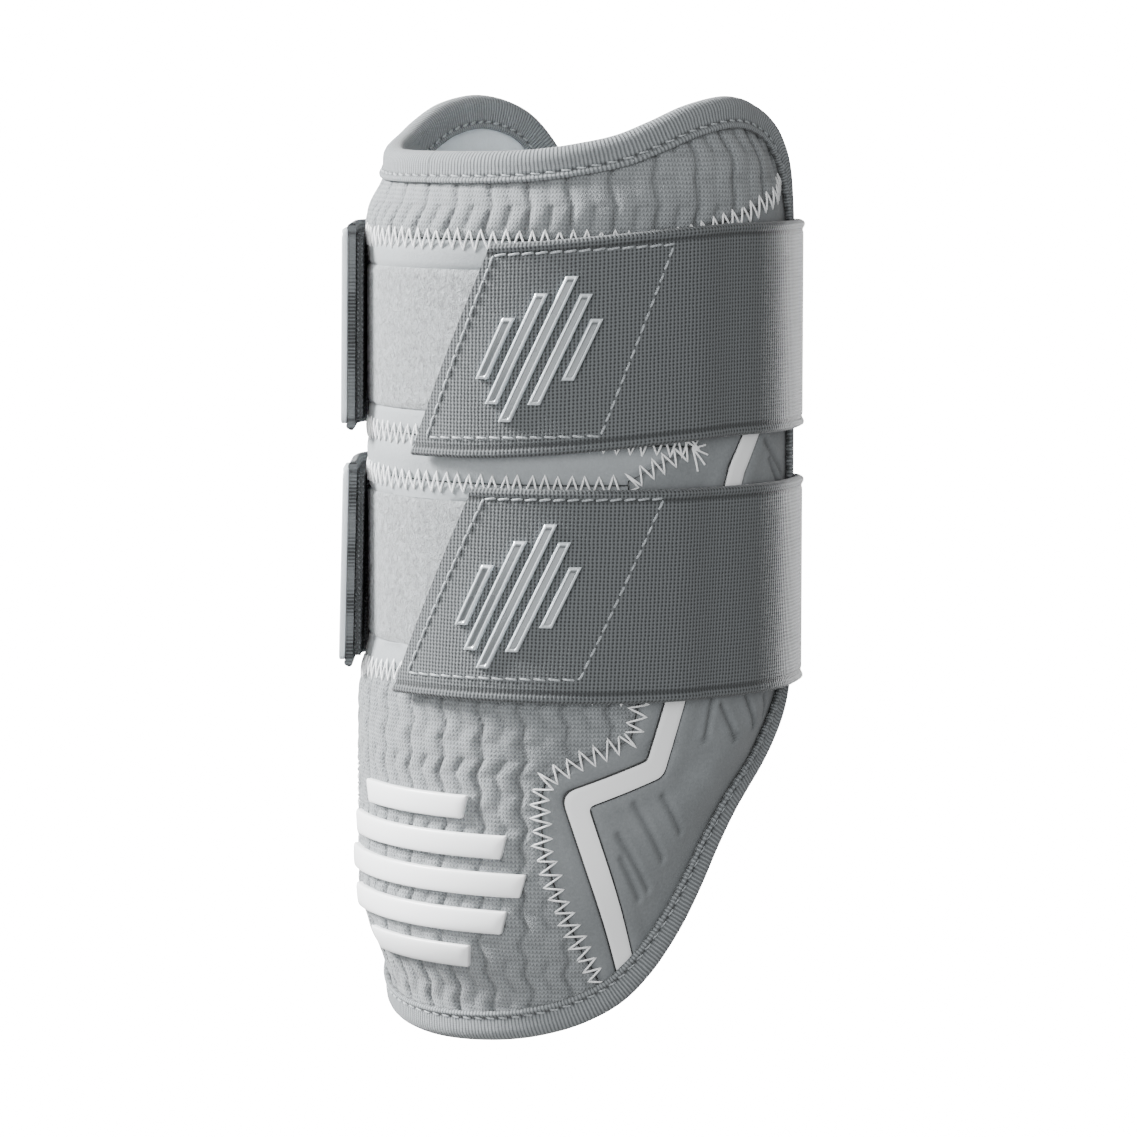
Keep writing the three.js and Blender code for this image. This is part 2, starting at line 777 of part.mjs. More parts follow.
// The inside line of one edge of a strap, from the front tab's end to the back tab's end.
function strapEdge(strap, share) {
  const shift = strapWidth * (share - 0.5);
  const back = strap.back * guardLength + shift;
  const tab = strap.tab * guardLength + shift;
  const line = [];
  const round = (angle, height) => {
    const [x, , z] = place(angle, 0, strapEdgeInside(strap, angle, share));
    line.push({ x, z, height });
  };
  const frontSteps = 10;
  const join = wingSteps[0] * wrapAngle;
  for (let step = 0; step < frontSteps; step += 1) {
    const angle = lerp(frontEnd(strap, 0), join, step / frontSteps);
    round(angle, strapMiddle(strap, angle) + shift);
  }
  for (const around of wingSteps) {
    const angle = around * wrapAngle;
    round(angle, strapMiddle(strap, angle) + shift);
  }
  const [noseX, , noseZ] = place(noseAngle, 0, noseOrbit);
  const turn = [0, 0.25, 0.5, 0.75, 1].map((part) => lerp(noseAngle, 180, part));
  const reach = noseRadius + seatGap;
  for (const angle of turn) {
    line.push({ x: noseX + reach * sin(angle), z: noseZ + reach * cos(angle), height: back });
  }
  for (const angle of [...turn].reverse()) {
    line.push({ x: -noseX - reach * sin(angle), z: noseZ + reach * cos(angle), height: back });
  }
  for (const around of [...wingSteps].reverse()) {
    const height = lerp(tab, back, ease(around, 0.56, 0.78));
    round(-around * wrapAngle, height);
  }
  line.push(...backTabLine(line.at(-1), lerp(strap.footStand, strap.headStand, share), tab));
  return line;
}

// A point on a flat tab, by its distances along the tab's tangent and out from the arm's axis.
function onTab(along, out) {
  return {
    x: along * cos(tabAngle) + out * sin(tabAngle),
    z: axisHeight - along * sin(tabAngle) + out * cos(tabAngle),
  };
}

// The strap leaves the round straight, bends, and runs flat to the tab's end.
function backTabLine(last, stand, height) {
  const leave = -wingSteps[0] * wrapAngle;
  const direction = { x: cos(leave), z: -sin(leave) };
  const normal = { x: sin(tabAngle), z: cos(tabAngle) };
  const out = skinRadius + stand;
  const toFlat = out - (last.x * normal.x + (last.z - axisHeight) * normal.z);
  const run = toFlat / (direction.x * normal.x + direction.z * normal.z);
  const corner = { x: last.x + direction.x * run, z: last.z + direction.z * run };
  const along = corner.x * cos(tabAngle) - (corner.z - axisHeight) * sin(tabAngle);
  const start = { x: corner.x - direction.x * tabBend, z: corner.z - direction.z * tabBend };
  const end = onTab(along + tabBend, out);
  const curve = new THREE.QuadraticBezierCurve(
    new THREE.Vector2(start.x, start.z),
    new THREE.Vector2(corner.x, corner.z),
    new THREE.Vector2(end.x, end.z),
  );
  const bend = curve.getPoints(4).map((point) => ({ x: point.x, z: point.y, height }));
  return [...bend, { ...onTab(tabReach, out), height }];
}

// A line moved along its normals, away from the arm's axis.
function thicken(line, distance) {
  return line.map((point, index) => {
    const before = line[Math.max(index - 1, 0)];
    const after = line[Math.min(index + 1, line.length - 1)];
    const into = new THREE.Vector2(point.x - before.x, point.z - before.z).normalize();
    const out = new THREE.Vector2(after.x - point.x, after.z - point.z).normalize();
    const along = into.clone().add(out).normalize();
    const reach = distance / Math.max(along.dot(index > 0 ? into : out), 0.7);
    return { x: point.x - along.y * reach, z: point.z + along.x * reach, height: point.height };
  });
}

// A strap runs clockwise seen from the elbow end, so its outside lies to its left.
function addStrap(strap) {
  const edges = [0, 1].map((share) => strapEdge(strap, share));
  const [footIn, headIn] = edges;
  const [footOut, headOut] = edges.map((line) => thicken(line, strapThick));
  const rings = [footIn, headIn, headOut, footOut];
  const count = footIn.length;
  const corners = rings.flatMap((line) => line.map(
    (point) => [point.x, point.height - middleHeight, point.z],
  ));
  const faces = [];
  for (let side = 0; side < 4; side += 1) {
    const here = side * count;
    const there = ((side + 1) % 4) * count;
    for (let step = 0; step + 1 < count; step += 1) {
      faces.push([here + step, there + step, there + step + 1], [here + step, there + step + 1, here + step + 1]);
    }
  }
  const cap = (step, turned) => {
    const ring = [0, 1, 2, 3].map((side) => side * count + step);
    const [a, b, c, d] = turned ? ring.reverse() : ring;
    faces.push([a, b, c], [a, c, d]);
  };
  cap(0, true);
  cap(count - 1, false);
  const before = () => frontEnd(strap, -slantMargin) - roundAngle(3);
  const cut = slantCut(strap, before, (share) => frontEnd(strap, share));
  const solid = toSolid(closedGeometry(corners, faces)).subtract(cut);
  addPiece(`strap_${strap.name}`, toGeometry(solid), 'elastic');
}

const slantMargin = 0.1;

// A cutting solid across a strap between two ends, each an angle at a share from foot to head.
function slantCut(strap, from, to) {
  const rows = 6;
  const columns = [0, 1, 2, 3, 4, 5, 6];
  const points = [];
  for (let row = 0; row <= rows; row += 1) {
    const share = lerp(-slantMargin, 1 + slantMargin, row / rows);
    for (const column of columns) {
      const angle = lerp(from(share), to(share), column / 6);
      points.push({ angle, height: strapMiddle(strap, angle) + strapWidth * (share - 0.5) });
    }
  }
  const plan = gridPlan(() => points[0], () => points[0], 6, rows);
  return toSolid(plateOver({ ...plan, points }, cutLow, cutHigh));
}

// The hook pad sewn under a front tab, with the tab's slant.
function addFrontHook(strap) {
  const start = (share) => frontEnd(strap, share) + roundAngle(hookInset);
  const edge = (share) => (part) => {
    const angle = lerp(start(0), hookEnd(strap, 1), part);
    return { angle, height: strapMiddle(strap, angle) + strapWidth * (share - 0.5) };
  };
  const margin = hookInset / strapWidth;
  const plan = gridPlan(edge(margin), edge(1 - margin), 10, 1);
  const high = (point) => strapInside(strap, point) - seatGap;
  const pad = toSolid(plateOver(plan, (point) => high(point) - hookThick, high));
  const slant = slantCut(strap, start, (share) => hookEnd(strap, share));
  addPiece(`hook_pad_front_${strap.name}`, toGeometry(pad.intersect(slant)), 'hook');
}

// A flat slab of a back tab: between two distances along it, and two layers off the strap's inside.
function tabSlab(strap, from, to, low, high, margin) {
  const middle = strap.tab * guardLength;
  const corners = [];
  for (const layer of [low, high]) {
    for (const share of [0, 1]) {
      const edge = share === 0 ? margin : strapWidth - margin;
      const out = skinRadius + lerp(strap.footStand, strap.headStand, edge / strapWidth) + layer;
      for (const along of [from, to]) {
        const { x, z } = onTab(along, out);
        corners.push([x, middle + edge - strapWidth / 2 - middleHeight, z]);
      }
    }
  }
  const faces = [[0, 1, 3, 2], [4, 6, 7, 5], [0, 4, 5, 1], [1, 5, 7, 3], [3, 7, 6, 2], [2, 6, 4, 0]];
  return closedGeometry(corners, faces.flatMap(([a, b, c, d]) => [[a, b, c], [a, c, d]]));
}

function addBackTab(strap) {
  const start = tabReach - plateLength;
  const plateLow = strapThick + seatGap;
  const plate = tabSlab(strap, start, tabReach, plateLow, plateLow + plateThick, plateInset);
  addPiece(`tab_plate_${strap.name}`, plate, 'plate');
  const hook = tabSlab(strap, start, tabReach - 1, -seatGap - backHookThick, -seatGap, hookInset);
  addPiece(`hook_pad_back_${strap.name}`, hook, 'hook');
}

// Five raised bars across the elbow, each along the round.
function addFrontBars() {
  barShares.forEach((share, index) => {
    const middle = frontBarCentre + frontBarPitch * (index - 2);
    const half = roundAngle(frontBarWidest * share) / 2;
    const columns = 2 * Math.ceil(half / 7);
    const edge = (height, cut) => (part) => ({ angle: lerp(-half + cut, half - cut, part), height });
    const low = edge(middle - frontBarHeight / 2, roundAngle(1.5));
    const high = edge(middle + frontBarHeight / 2, 0);
    const plan = gridPlan(low, high, columns, 1);
    const bar = plateOver(plan, onSkin(seatGap), onSkin(seatGap + frontBarThick));
    addPiece(`front_bar_${index + 1}`, bar, 'print');
  });
}

// Five slanted bars on the outside of a front tab.
function addTabBars(strap) {
  const centre = strap.end * wrapAngle + roundAngle(hookInset + hookLength * 0.45);
  tabBarShares.forEach((share, index) => {
    const middle = centre + roundAngle(tabBarPitch * (index - 2));
    const half = tabBarTallest * share / 2;
    const height = strapMiddle(strap, centre);
    const edge = (sign) => (part) => ({
      angle: middle + roundAngle(tabSlant * sign * half / strapWidth + tabBarWidth * (part - 0.5)),
      height: height + sign * half,
    });
    const plan = gridPlan(edge(-1), edge(1), 1, 3);
    const low = (point) => strapInside(strap, point) + strapThick + seatGap;
    const bar = plateOver(plan, low, (point) => low(point) + tabBarThick);
    addPiece(`tab_bar_${strap.name}_${index + 1}`, bar, 'plate');
  });
}

addFoam();
addLining();
addPanels();
addLoopPatches();
addBinding();
addFrontBars();
for (const strap of strapRows) {
  addStrap(strap);
  addFrontHook(strap);
  addBackTab(strap);
  addTabBars(strap);
}

export default guard;
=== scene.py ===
import math

import bpy
import numpy as np
from mathutils import Matrix, Vector


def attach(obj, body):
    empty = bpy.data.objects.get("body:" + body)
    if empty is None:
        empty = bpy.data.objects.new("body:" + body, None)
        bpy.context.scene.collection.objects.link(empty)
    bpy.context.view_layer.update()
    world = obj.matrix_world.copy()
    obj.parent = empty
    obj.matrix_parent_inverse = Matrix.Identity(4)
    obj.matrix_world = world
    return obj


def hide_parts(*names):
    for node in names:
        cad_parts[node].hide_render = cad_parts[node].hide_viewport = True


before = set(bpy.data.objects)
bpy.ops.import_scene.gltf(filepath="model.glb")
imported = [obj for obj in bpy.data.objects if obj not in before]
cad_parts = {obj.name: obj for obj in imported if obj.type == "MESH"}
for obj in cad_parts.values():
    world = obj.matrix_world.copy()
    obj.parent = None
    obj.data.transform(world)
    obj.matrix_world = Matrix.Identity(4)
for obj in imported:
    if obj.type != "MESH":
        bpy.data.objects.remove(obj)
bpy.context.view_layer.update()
print("frame loaded")

# the sleeve's own shape, the same numbers as its solids
sleeve = {
    "length": 223.4,
    "elbowDrop": 1.9,
    "wrap": 131,
    "lining": 44,
    "liningThick": 1,
    "skin": 52.8,
    "rim": 47.7,
    "panelThick": 2.3,
    "wingLift": 2.7,
    "elbowBulge": 2.5,
    "rollStart": 4,
    "rollEnd": 18,
    "elbowRoll": 12,
    "panelInset": 1.8,
    "foamInset": 8,
    "seat": 0.3,
    "seam": 0.4,
    "seamDip": 0.6,
    "seamReach": 1.8,
    "noseRadius": 3.15,
    "noseOrbit": 48.55,
    "strapThick": 1.8,
}
length = sleeve["length"]
middleHeight = (length - sleeve["elbowDrop"]) / 2
wrap = sleeve["wrap"]
noseAngle = wrap - math.degrees(sleeve["noseRadius"] / sleeve["noseOrbit"])
strapReach = sleeve["noseRadius"] + sleeve["seat"] + sleeve["strapThick"]
axisHeight = strapReach - sleeve["noseOrbit"] * math.cos(math.radians(noseAngle))

# the rim and the seams as shares of the wrap angle and of the length
rimRows = [
    (0, 0.942), (0.252, 0.9445), (0.366, 0.952), (0.443, 0.96), (0.519, 0.974), (0.611, 0.991),
    (0.725, 1), (0.817, 0.992), (0.885, 0.974), (0.947, 0.936), (0.985, 0.886), (1, 0.833),
    (1, 0.74), (1, 0.629), (1, 0.52), (1, 0.425), (0.984, 0.3832), (0.95, 0.3462),
    (0.908, 0.314), (0.843, 0.276), (0.757, 0.2375), (0.699, 0.2), (0.652, 0.1605), (0.596, 0.116),
    (0.528, 0.0725), (0.457, 0.0405), (0.372, 0.0188), (0.285, 0.0055), (0.184, -0.0033), (0, -0.0085),
]
seams = {
    "top": [(0, 0.8505), (0.55, 0.8505), (0.718, 0.875), (0.8, 0.89), (0.924, 0.912), (1.2, 0.945)],
    "bandTop": [(0, 0.642), (0.313, 0.642), (0.585, 0.6334), (1.2, 0.6334)],
    "bandFoot": [(0, 0.5945), (1.2, 0.5945)],
    "elbow": [(0, 0.3895), (0.47, 0.3735), (1.2, 0.3735)],
    "wing": [
        (0.756, 1.1), (0.74, 0.87), (0.656, 0.734), (0.594, 0.6334), (0.458, 0.599), (0.488, 0.479),
        (0.481, 0.3715), (0.473, 0.3536), (0.462, 0.3268), (0.382, 0.3111), (0.302, 0.2865),
        (0.288, 0.2628), (0.295, 0.2095), (0.325, 0.1567), (0.364, 0.103), (0.403, 0.0658), (0.405, -0.05),
    ],
}


def rise(value, low, high):
    share = np.clip((value - low) / (high - low), 0, 1)
    return share * share * (3 - 2 * share)


def blend(start, end, share):
    return start + (end - start) * share


# 1 where the gap is nothing, falling away softly over a width
def hump(gap, width):
    return np.exp(-(gap / width) ** 2)


# a point on the round from start to end that stays inside their corner
def roundCorner(start, corner, end, share):
    return (1 - share) ** 2 * start + 2 * share * (1 - share) * corner + share ** 2 * end


# how far the points of a line lie along it
def travelOf(line):
    steps = np.linalg.norm(np.diff(line, axis=0), axis=-1)
    return np.concatenate([0 * steps[:1], np.cumsum(steps, axis=0)])


# the points of a flat line at distances along it
def alongLine(line, spots):
    travel = travelOf(line)
    return np.stack([np.interp(spots, travel, line[:, 0]), np.interp(spots, travel, line[:, 1])], axis=1)


def place(angle, height, radius):
    turn = np.radians(angle)
    across = radius * np.sin(turn)
    along = height - middleHeight + 0 * across
    return np.stack([across, along, axisHeight + radius * np.cos(turn)], axis=-1)


def arcOf(angle):
    return np.radians(angle) * sleeve["skin"]


def angleOf(arc):
    return np.degrees(arc / sleeve["skin"])


# angle and height as millimetres on the unrolled sleeve
def unrolled(angle, height):
    return np.stack([arcOf(angle), height], axis=-1)


def unrolledLine(line):
    return np.array([unrolled(angle, height) for angle, height in line])


def elbowShare(angle, height):
    around = 1 - rise(np.abs(angle), 0.31 * wrap, 0.65 * wrap)
    return around * (1 - rise(height, 0.34 * length, 0.43 * length))


def wingShare(angle):
    return rise(np.abs(angle), 0.8 * wrap, 0.97 * wrap)


def liningInside(angle):
    return sleeve["lining"] + sleeve["wingLift"] * wingShare(angle)


def skinOutside(angle, height, inset):
    elbow = elbowShare(angle, height)
    lift = sleeve["wingLift"] * wingShare(angle)
    drop = sleeve["skin"] - sleeve["rim"] - lift + sleeve["elbowBulge"] * elbow
    share = rise(inset, sleeve["rollStart"], sleeve["rollEnd"] + sleeve["elbowRoll"] * elbow)
    return sleeve["rim"] + lift + drop * share


# a smooth closed curve through the rim's points, cut into even steps
def rimCurve(count):
    half = [(math.radians(around * wrap) * sleeve["rim"], along * length) for around, along in rimRows]
    knots = np.array(half + [(-x, y) for x, y in reversed(half[1:-1])])
    before = np.roll(knots, 1, axis=0)
    after = np.roll(knots, -1, axis=0)
    beyond = np.roll(knots, -2, axis=0)
    first = np.sqrt(np.linalg.norm(knots - before, axis=1))[:, None]
    second = np.sqrt(np.linalg.norm(after - knots, axis=1))[:, None]
    third = np.sqrt(np.linalg.norm(beyond - after, axis=1))[:, None]
    ahead = after - knots
    leave = ((knots - before) / first - (after - before) / (first + second)) * second + ahead
    enter = ahead - (beyond - knots) * second / (second + third) + (beyond - after) * second / third
    steps = np.linspace(0, 1, 40, endpoint=False)[None, :, None]
    cubic = (2 * steps ** 3 - 3 * steps ** 2 + 1) * knots[:, None]
    cubic = cubic + (steps ** 3 - 2 * steps ** 2 + steps) * leave[:, None]
    cubic = cubic + (3 * steps ** 2 - 2 * steps ** 3) * after[:, None]
    cubic = cubic + (steps ** 3 - steps ** 2) * enter[:, None]
    line = cubic.reshape(-1, 2)
    line = np.vstack([line, line[:1]])
    total = travelOf(line)[-1]
    points = alongLine(line, np.linspace(0, total, count, endpoint=False))
    along = np.roll(points, -1, axis=0) - np.roll(points, 1, axis=0)
    along = along / np.linalg.norm(along, axis=1)[:, None]
    inward = np.stack([along[:, 1], -along[:, 0]], axis=1)
    return points, inward, total


rimPoints, rimInward, rimLength = rimCurve(1200)


# angle and height of the whole rim, moved inwards
def ringAt(inset):
    moved = rimPoints + rimInward * inset
    return np.degrees(moved[:, 0] / sleeve["rim"]), moved[:, 1]


# the right half of the ring split into the edge at the wide end, the side and the elbow's edge
class RimEdges:
    def __init__(self, inset):
        angle, height = ringAt(inset)
        half = len(angle) // 2
        angle = angle[:half + 1]
        height = height[:half + 1]
        self.widest = angle.max()
        head = height > 0.6 * length
        self.headAngle = np.maximum.accumulate(angle[head])
        self.headHeight = height[head]
        self.footAngle = np.maximum.accumulate(angle[~head][::-1])
        self.footHeight = height[~head][::-1]
        top = int(np.argmax(height))
        self.sideHeight = np.maximum.accumulate(height[top:][::-1])
        self.sideAngle = angle[top:][::-1]

    def head(self, angle):
        return np.interp(np.abs(angle), self.headAngle, self.headHeight)

    def foot(self, angle):
        return np.interp(np.abs(angle), self.footAngle, self.footHeight)

    def side(self, height):
        return np.interp(height, self.sideHeight, self.sideAngle)


def rimDistance(angle, height):
    across = np.radians(np.ravel(angle)) * sleeve["rim"]
    along = np.ravel(height)
    nearest = np.empty(len(across))
    for start in range(0, len(across), 4000):
        part = slice(start, start + 4000)
        gapAcross = across[part, None] - rimPoints[None, :, 0]
        gapAlong = along[part, None] - rimPoints[None, :, 1]
        nearest[part] = np.sqrt((gapAcross ** 2 + gapAlong ** 2).min(axis=1))
    return nearest.reshape(np.shape(angle))


def skinAt(angle, height):
    return skinOutside(angle, height, rimDistance(angle, height))


def seamHeight(name, angle):
    rows = np.array(seams[name])
    return np.interp(np.abs(angle) / wrap, rows[:, 0], rows[:, 1]) * length


def wingSeamAngle(height):
    rows = np.array(seams["wing"])[::-1]
    return np.interp(height / length, rows[:, 1], rows[:, 0]) * wrap


# distance on the unrolled sleeve from points to a line given as rows of angle and height
def lineDistance(angle, height, line):
    across = arcOf(angle)
    nearest = np.full(np.shape(across), 1e9)
    for start, end in zip(line[:-1], line[1:]):
        x0, y0 = float(arcOf(start[0])), start[1]
        dx, dy = float(arcOf(end[0])) - x0, end[1] - y0
        share = np.clip(((across - x0) * dx + (height - y0) * dy) / (dx * dx + dy * dy), 0, 1)
        nearest = np.minimum(nearest, np.hypot(across - x0 - share * dx, height - y0 - share * dy))
    return nearest


def wingLine(side):
    return [(side * around * wrap, along * length) for around, along in seams["wing"]]


# the panels sink where they are sewn
def seamDip(distance):
    return -sleeve["seamDip"] * (1 - rise(distance, 0, sleeve["seamReach"]))


# camera

camera = {"lens": 148.6, "sensor": 36, "reach": 1150, "tilt": 6, "shiftRight": -3.92, "aim": (0, -2.75)}
toCamera = Vector((0.7547, 0, 0.6561))
imageRight = Vector((0.6561, 0, -0.7547))


def addCamera():
    tilt = math.radians(camera["tilt"])
    back = (toCamera * math.cos(tilt) + Vector((0, 1, 0)) * math.sin(tilt)).normalized()
    up = back.cross(imageRight).normalized()
    aim = Vector((camera["aim"][0], camera["aim"][1], axisHeight))
    spot = (aim + imageRight * camera["shiftRight"] + back * camera["reach"]) / 1000
    data = bpy.data.cameras.new("photoCamera")
    data.lens = camera["lens"]
    data.sensor_width = camera["sensor"]
    shot = bpy.data.objects.new("photoCamera", data)
    bpy.context.collection.objects.link(shot)
    turn = Matrix((imageRight, up, back)).transposed().to_4x4()
    shot.matrix_world = Matrix.Translation(spot) @ turn
    bpy.context.scene.camera = shot


addCamera()
print("camera set")


# shader maths

class Wire:
    # a socket of a shader tree
    def __init__(self, finish, socket):
        self.finish = finish
        self.socket = socket

    def maths(self, operation, *values):
        return self.finish.add("ShaderNodeMath", {"operation": operation}, values)

    def __add__(self, other):
        return self.maths("ADD", self, other)

    __radd__ = __add__

    def __sub__(self, other):
        return self.maths("SUBTRACT", self, other)

    def __mul__(self, other):
        return self.maths("MULTIPLY", self, other)

    __rmul__ = __mul__


class Finish:
    # a material with its shader's fixed values, and the nodes that feed it
    def __init__(self, name, **fixed):
        self.material = bpy.data.materials.new(name)
        self.material.use_nodes = True
        self.nodes = self.material.node_tree.nodes
        self.links = self.material.node_tree.links
        self.shader = self.nodes["Principled BSDF"]
        for socket, value in fixed.items():
            self.shader.inputs[socket].default_value = value

    def add(self, kind, settings=None, values=(), output=0):
        node = self.nodes.new(kind)
        for key, value in (settings or {}).items():
            setattr(node, key, value)
        pairs = values.items() if isinstance(values, dict) else enumerate(values)
        for socket, value in pairs:
            self.join(node.inputs[socket], value)
        return Wire(self, node.outputs[output])

    def join(self, socket, value):
        if isinstance(value, Wire):
            self.links.new(value.socket, socket)
        else:
            socket.default_value = value

    # across and along on the cloth in millimetres, and both as a spot
    def cloth(self):
        spot = self.add("ShaderNodeUVMap", {"uv_map": "UVMap"})
        across = self.add("ShaderNodeSeparateXYZ", None, [spot])
        along = Wire(self, across.socket.node.outputs[1])
        return across, along, self.spot(across, along)

    def spot(self, x, y):
        return self.add("ShaderNodeCombineXYZ", None, [x, y])

    # metres on a piece that has no cloth map
    def onPiece(self):
        return self.add("ShaderNodeTexCoord", None, (), "Object")

    def noise(self, where, scale, detail=2.0, rough=0.5, distortion=0.0):
        values = {"Vector": where, "Scale": scale, "Detail": detail, "Roughness": rough}
        values["Distortion"] = distortion
        return self.add("ShaderNodeTexNoise", None, values)

    # the mask of painted shade in grooves, seams and stitch lines, and of the tab bars' own grey middles,
    # written on the mesh
    def paintedShadeAndBarGrey(self):
        return self.clamp(self.add("ShaderNodeAttribute", {"attribute_name": "paintedShadeAndBarGrey"}, (), "Fac"))

    # 0 to 1 and back along a value, once in a period
    def wave(self, value, period):
        turn = value * (2 * math.pi / period)
        return turn.maths("COSINE", turn) * 0.5 + 0.5

    def clamp(self, value):
        return self.add("ShaderNodeClamp", None, [value])

    def fade(self, value, low, high):
        settings = {"interpolation_type": "SMOOTHSTEP"}
        values = {"Value": value, "From Min": low, "From Max": high}
        return self.add("ShaderNodeMapRange", settings, values)

    # a colour between two, by the mix node's colour sockets
    def mix(self, share, first, second):
        return self.add("ShaderNodeMix", {"data_type": "RGBA"}, {0: share, 6: first, 7: second}, 2)

    # a relief in millimetres
    def bump(self, height):
        values = {"Strength": 1.0, "Distance": 0.001, "Height": height}
        self.join(self.shader.inputs["Normal"], self.add("ShaderNodeBump", None, values))

    def paint(self, colour):
        self.join(self.shader.inputs["Base Color"], colour)

    def roughness(self, value):
        self.join(self.shader.inputs["Roughness"], value)


# a cool grey, the white parts nearly neutral
def grey(tone):
    tint = 0.045 if tone < 0.8 else 0.01
    return (tone * (1 - tint * 1.6), tone, tone * (1 + tint), 1)


def clothShader(name, rough, specular, sheen, sheenRough):
    fixed = {"Roughness": rough, "Specular IOR Level": specular}
    fixed["Sheen Weight"] = sheen
    fixed["Sheen Roughness"] = sheenRough
    return Finish(name, **fixed)


# knitted cloth: columns of small stitches, darker between them, with painted shade in the quilt's grooves
# and along its seams
def knitFinish(name, light, dark):
    finish = clothShader(name, 0.9, 0.2, 0.25, 0.6)
    across, along, spot = finish.cloth()
    sway = finish.noise(spot, 0.35, 1.0) - 0.5
    column = finish.wave(across + sway * 0.6, 0.9)
    stitch = finish.wave(along + sway * 0.6 + column * 0.5, 1.04)
    height = finish.fade(column * 0.4 + stitch * 0.6, 0.05, 0.8)
    fuzz = finish.noise(spot, 1.5, 3.0, 0.65)
    tone = finish.clamp(height * 0.6 + fuzz * 0.8 - 0.2)
    cloth = finish.mix(tone, grey(dark), grey(light))
    # painted shade in the quilt's grooves and along the seams, from the mesh's mask
    finish.paint(finish.mix(finish.paintedShadeAndBarGrey() * 0.75, cloth, grey(dark * 0.5)))
    finish.bump(height * 0.22 + fuzz * 0.14)
    return finish.material


# smooth moulded cloth with a faint mottle, and painted shade in its grooves and seams
def smoothFinish(name, light, dark):
    finish = clothShader(name, 0.72, 0.3, 0.2, 0.5)
    spot = finish.cloth()[2]
    fine = finish.noise(spot, 1.4, 4.0, 0.7, 0.6)
    broad = finish.noise(spot, 0.12, 2.0)
    tone = finish.clamp((fine - 0.5) * 1.8 + broad)
    cloth = finish.mix(tone, grey(dark), grey(light))
    # painted shade in the grooves, along the seams and round the loop patches, from the mesh's mask
    finish.paint(finish.mix(finish.paintedShadeAndBarGrey() * 0.5, cloth, grey(dark * 0.5)))
    finish.bump(fine * 0.14)
    return finish.material


# brushed loop pile: soft tufts with darker specks between
def loopFinish(name, light, dark):
    finish = clothShader(name, 0.95, 0.1, 0.4, 0.7)
    across, along, spot = finish.cloth()
    tufts = finish.noise(spot, 0.6, 4.0, 0.75, 0.8)
    hairs = finish.noise(finish.spot(across * 1.5, along * 0.8), 1.0, 3.0, 0.75, 1.5)
    tone = finish.clamp((tufts * 0.5 + hairs * 0.5 - 0.5) * 6 + 0.6)
    finish.paint(finish.mix(tone, grey(dark), grey(light)))
    finish.bump((tufts + hairs) * 0.9)
    return finish.material


# ribbed tape: ribs lie across it, so they follow one another along the rim
def bindingFinish(name, light, dark):
    finish = clothShader(name, 0.85, 0.2, 0.2, 0.5)
    across, along, spot = finish.cloth()
    wobble = finish.noise(spot, 0.5, 1.0) * 0.5
    rib = finish.fade(finish.wave(along + wobble * 0.6, 0.92), 0.1, 0.7)
    weave = finish.wave(across, 0.5)
    fuzz = finish.noise(spot, 2.0, 2.0)
    height = rib * (0.8 + 0.2 * weave)
    tone = finish.clamp(height * 0.7 + fuzz * 0.5 - 0.05)
    cloth = finish.mix(tone, grey(dark), grey(light))
    # painted shade along the stitch line, deepest at each stitch hole
    finish.paint(finish.mix(finish.paintedShadeAndBarGrey() * 0.8, cloth, grey(dark * 0.25)))
    finish.bump(height * 0.2 + fuzz * 0.06)
    return finish.material


# woven elastic: a grid of small ribs with dark holes between
def elasticFinish(name, light, dark):
    finish = clothShader(name, 0.82, 0.25, 0.15, 0.5)
    across, along, spot = finish.cloth()
    sway = (finish.noise(spot, 0.4, 1.0) - 0.5) * 0.3
    warp = finish.wave(across + sway, 0.92)
    weft = finish.wave(along + sway, 0.86)
    height = warp * 0.6 + weft * 0.4
    fuzz = finish.noise(spot, 2.4, 2.0)
    hole = finish.fade(height, 0.1, 0.62)
    tone = finish.clamp(hole * 0.85 + fuzz * 0.3 - 0.05)
    cloth = finish.mix(tone, grey(dark), grey(light))
    # painted shade in the groove near each edge of the strap
    finish.paint(finish.mix(finish.paintedShadeAndBarGrey() * 0.7, cloth, grey(dark * 0.5)))
    finish.bump(height * 0.2 + fuzz * 0.05)
    return finish.material


# moulded hooks: a dense bed of small dark points
def hookFinish(name, light, dark):
    finish = Finish(name, **{"Roughness": 0.6, "Specular IOR Level": 0.3})
    across, along, spot = finish.cloth()
    fuzz = finish.noise(spot, 1.4, 3.0)
    dots = finish.wave(across + fuzz * 1.2, 1.1) * finish.wave(along + fuzz * 1.6, 1.3)
    tone = finish.clamp(dots * 0.8 + fuzz * 0.4)
    finish.paint(finish.mix(tone, grey(dark), grey(light)))
    finish.bump(dots * 0.5 + fuzz * 0.3)
    return finish.material


# twisted thread
def threadFinish(name, light, dark):
    finish = Finish(name, **{"Roughness": 0.55, "Specular IOR Level": 0.35, "Sheen Weight": 0.2})
    twist = finish.noise(finish.onPiece(), 2600.0, 2.0)
    finish.paint(finish.mix(finish.fade(twist, 0.35, 0.6), grey(dark), grey(light)))
    finish.bump(twist * 0.1)
    return finish.material


# moulded plastic or film with a faint unevenness, darker where the crease mask is
def mouldedFinish(name, light, dark, rough, metal=0.0):
    finish = Finish(name, **{"Metallic": metal, "Specular IOR Level": 0.5})
    spot = finish.onPiece()
    cloud = finish.noise(spot, 90.0, 3.0)
    grain = finish.noise(spot, 1500.0, 2.0)
    base = finish.mix(cloud, grey(light * 0.97), grey(light))
    finish.paint(finish.mix(finish.paintedShadeAndBarGrey(), base, grey(dark)))
    finish.roughness(cloud * 0.12 + (rough - 0.06))
    finish.bump(grain * 0.012 + cloud * 0.06)
    return finish.material


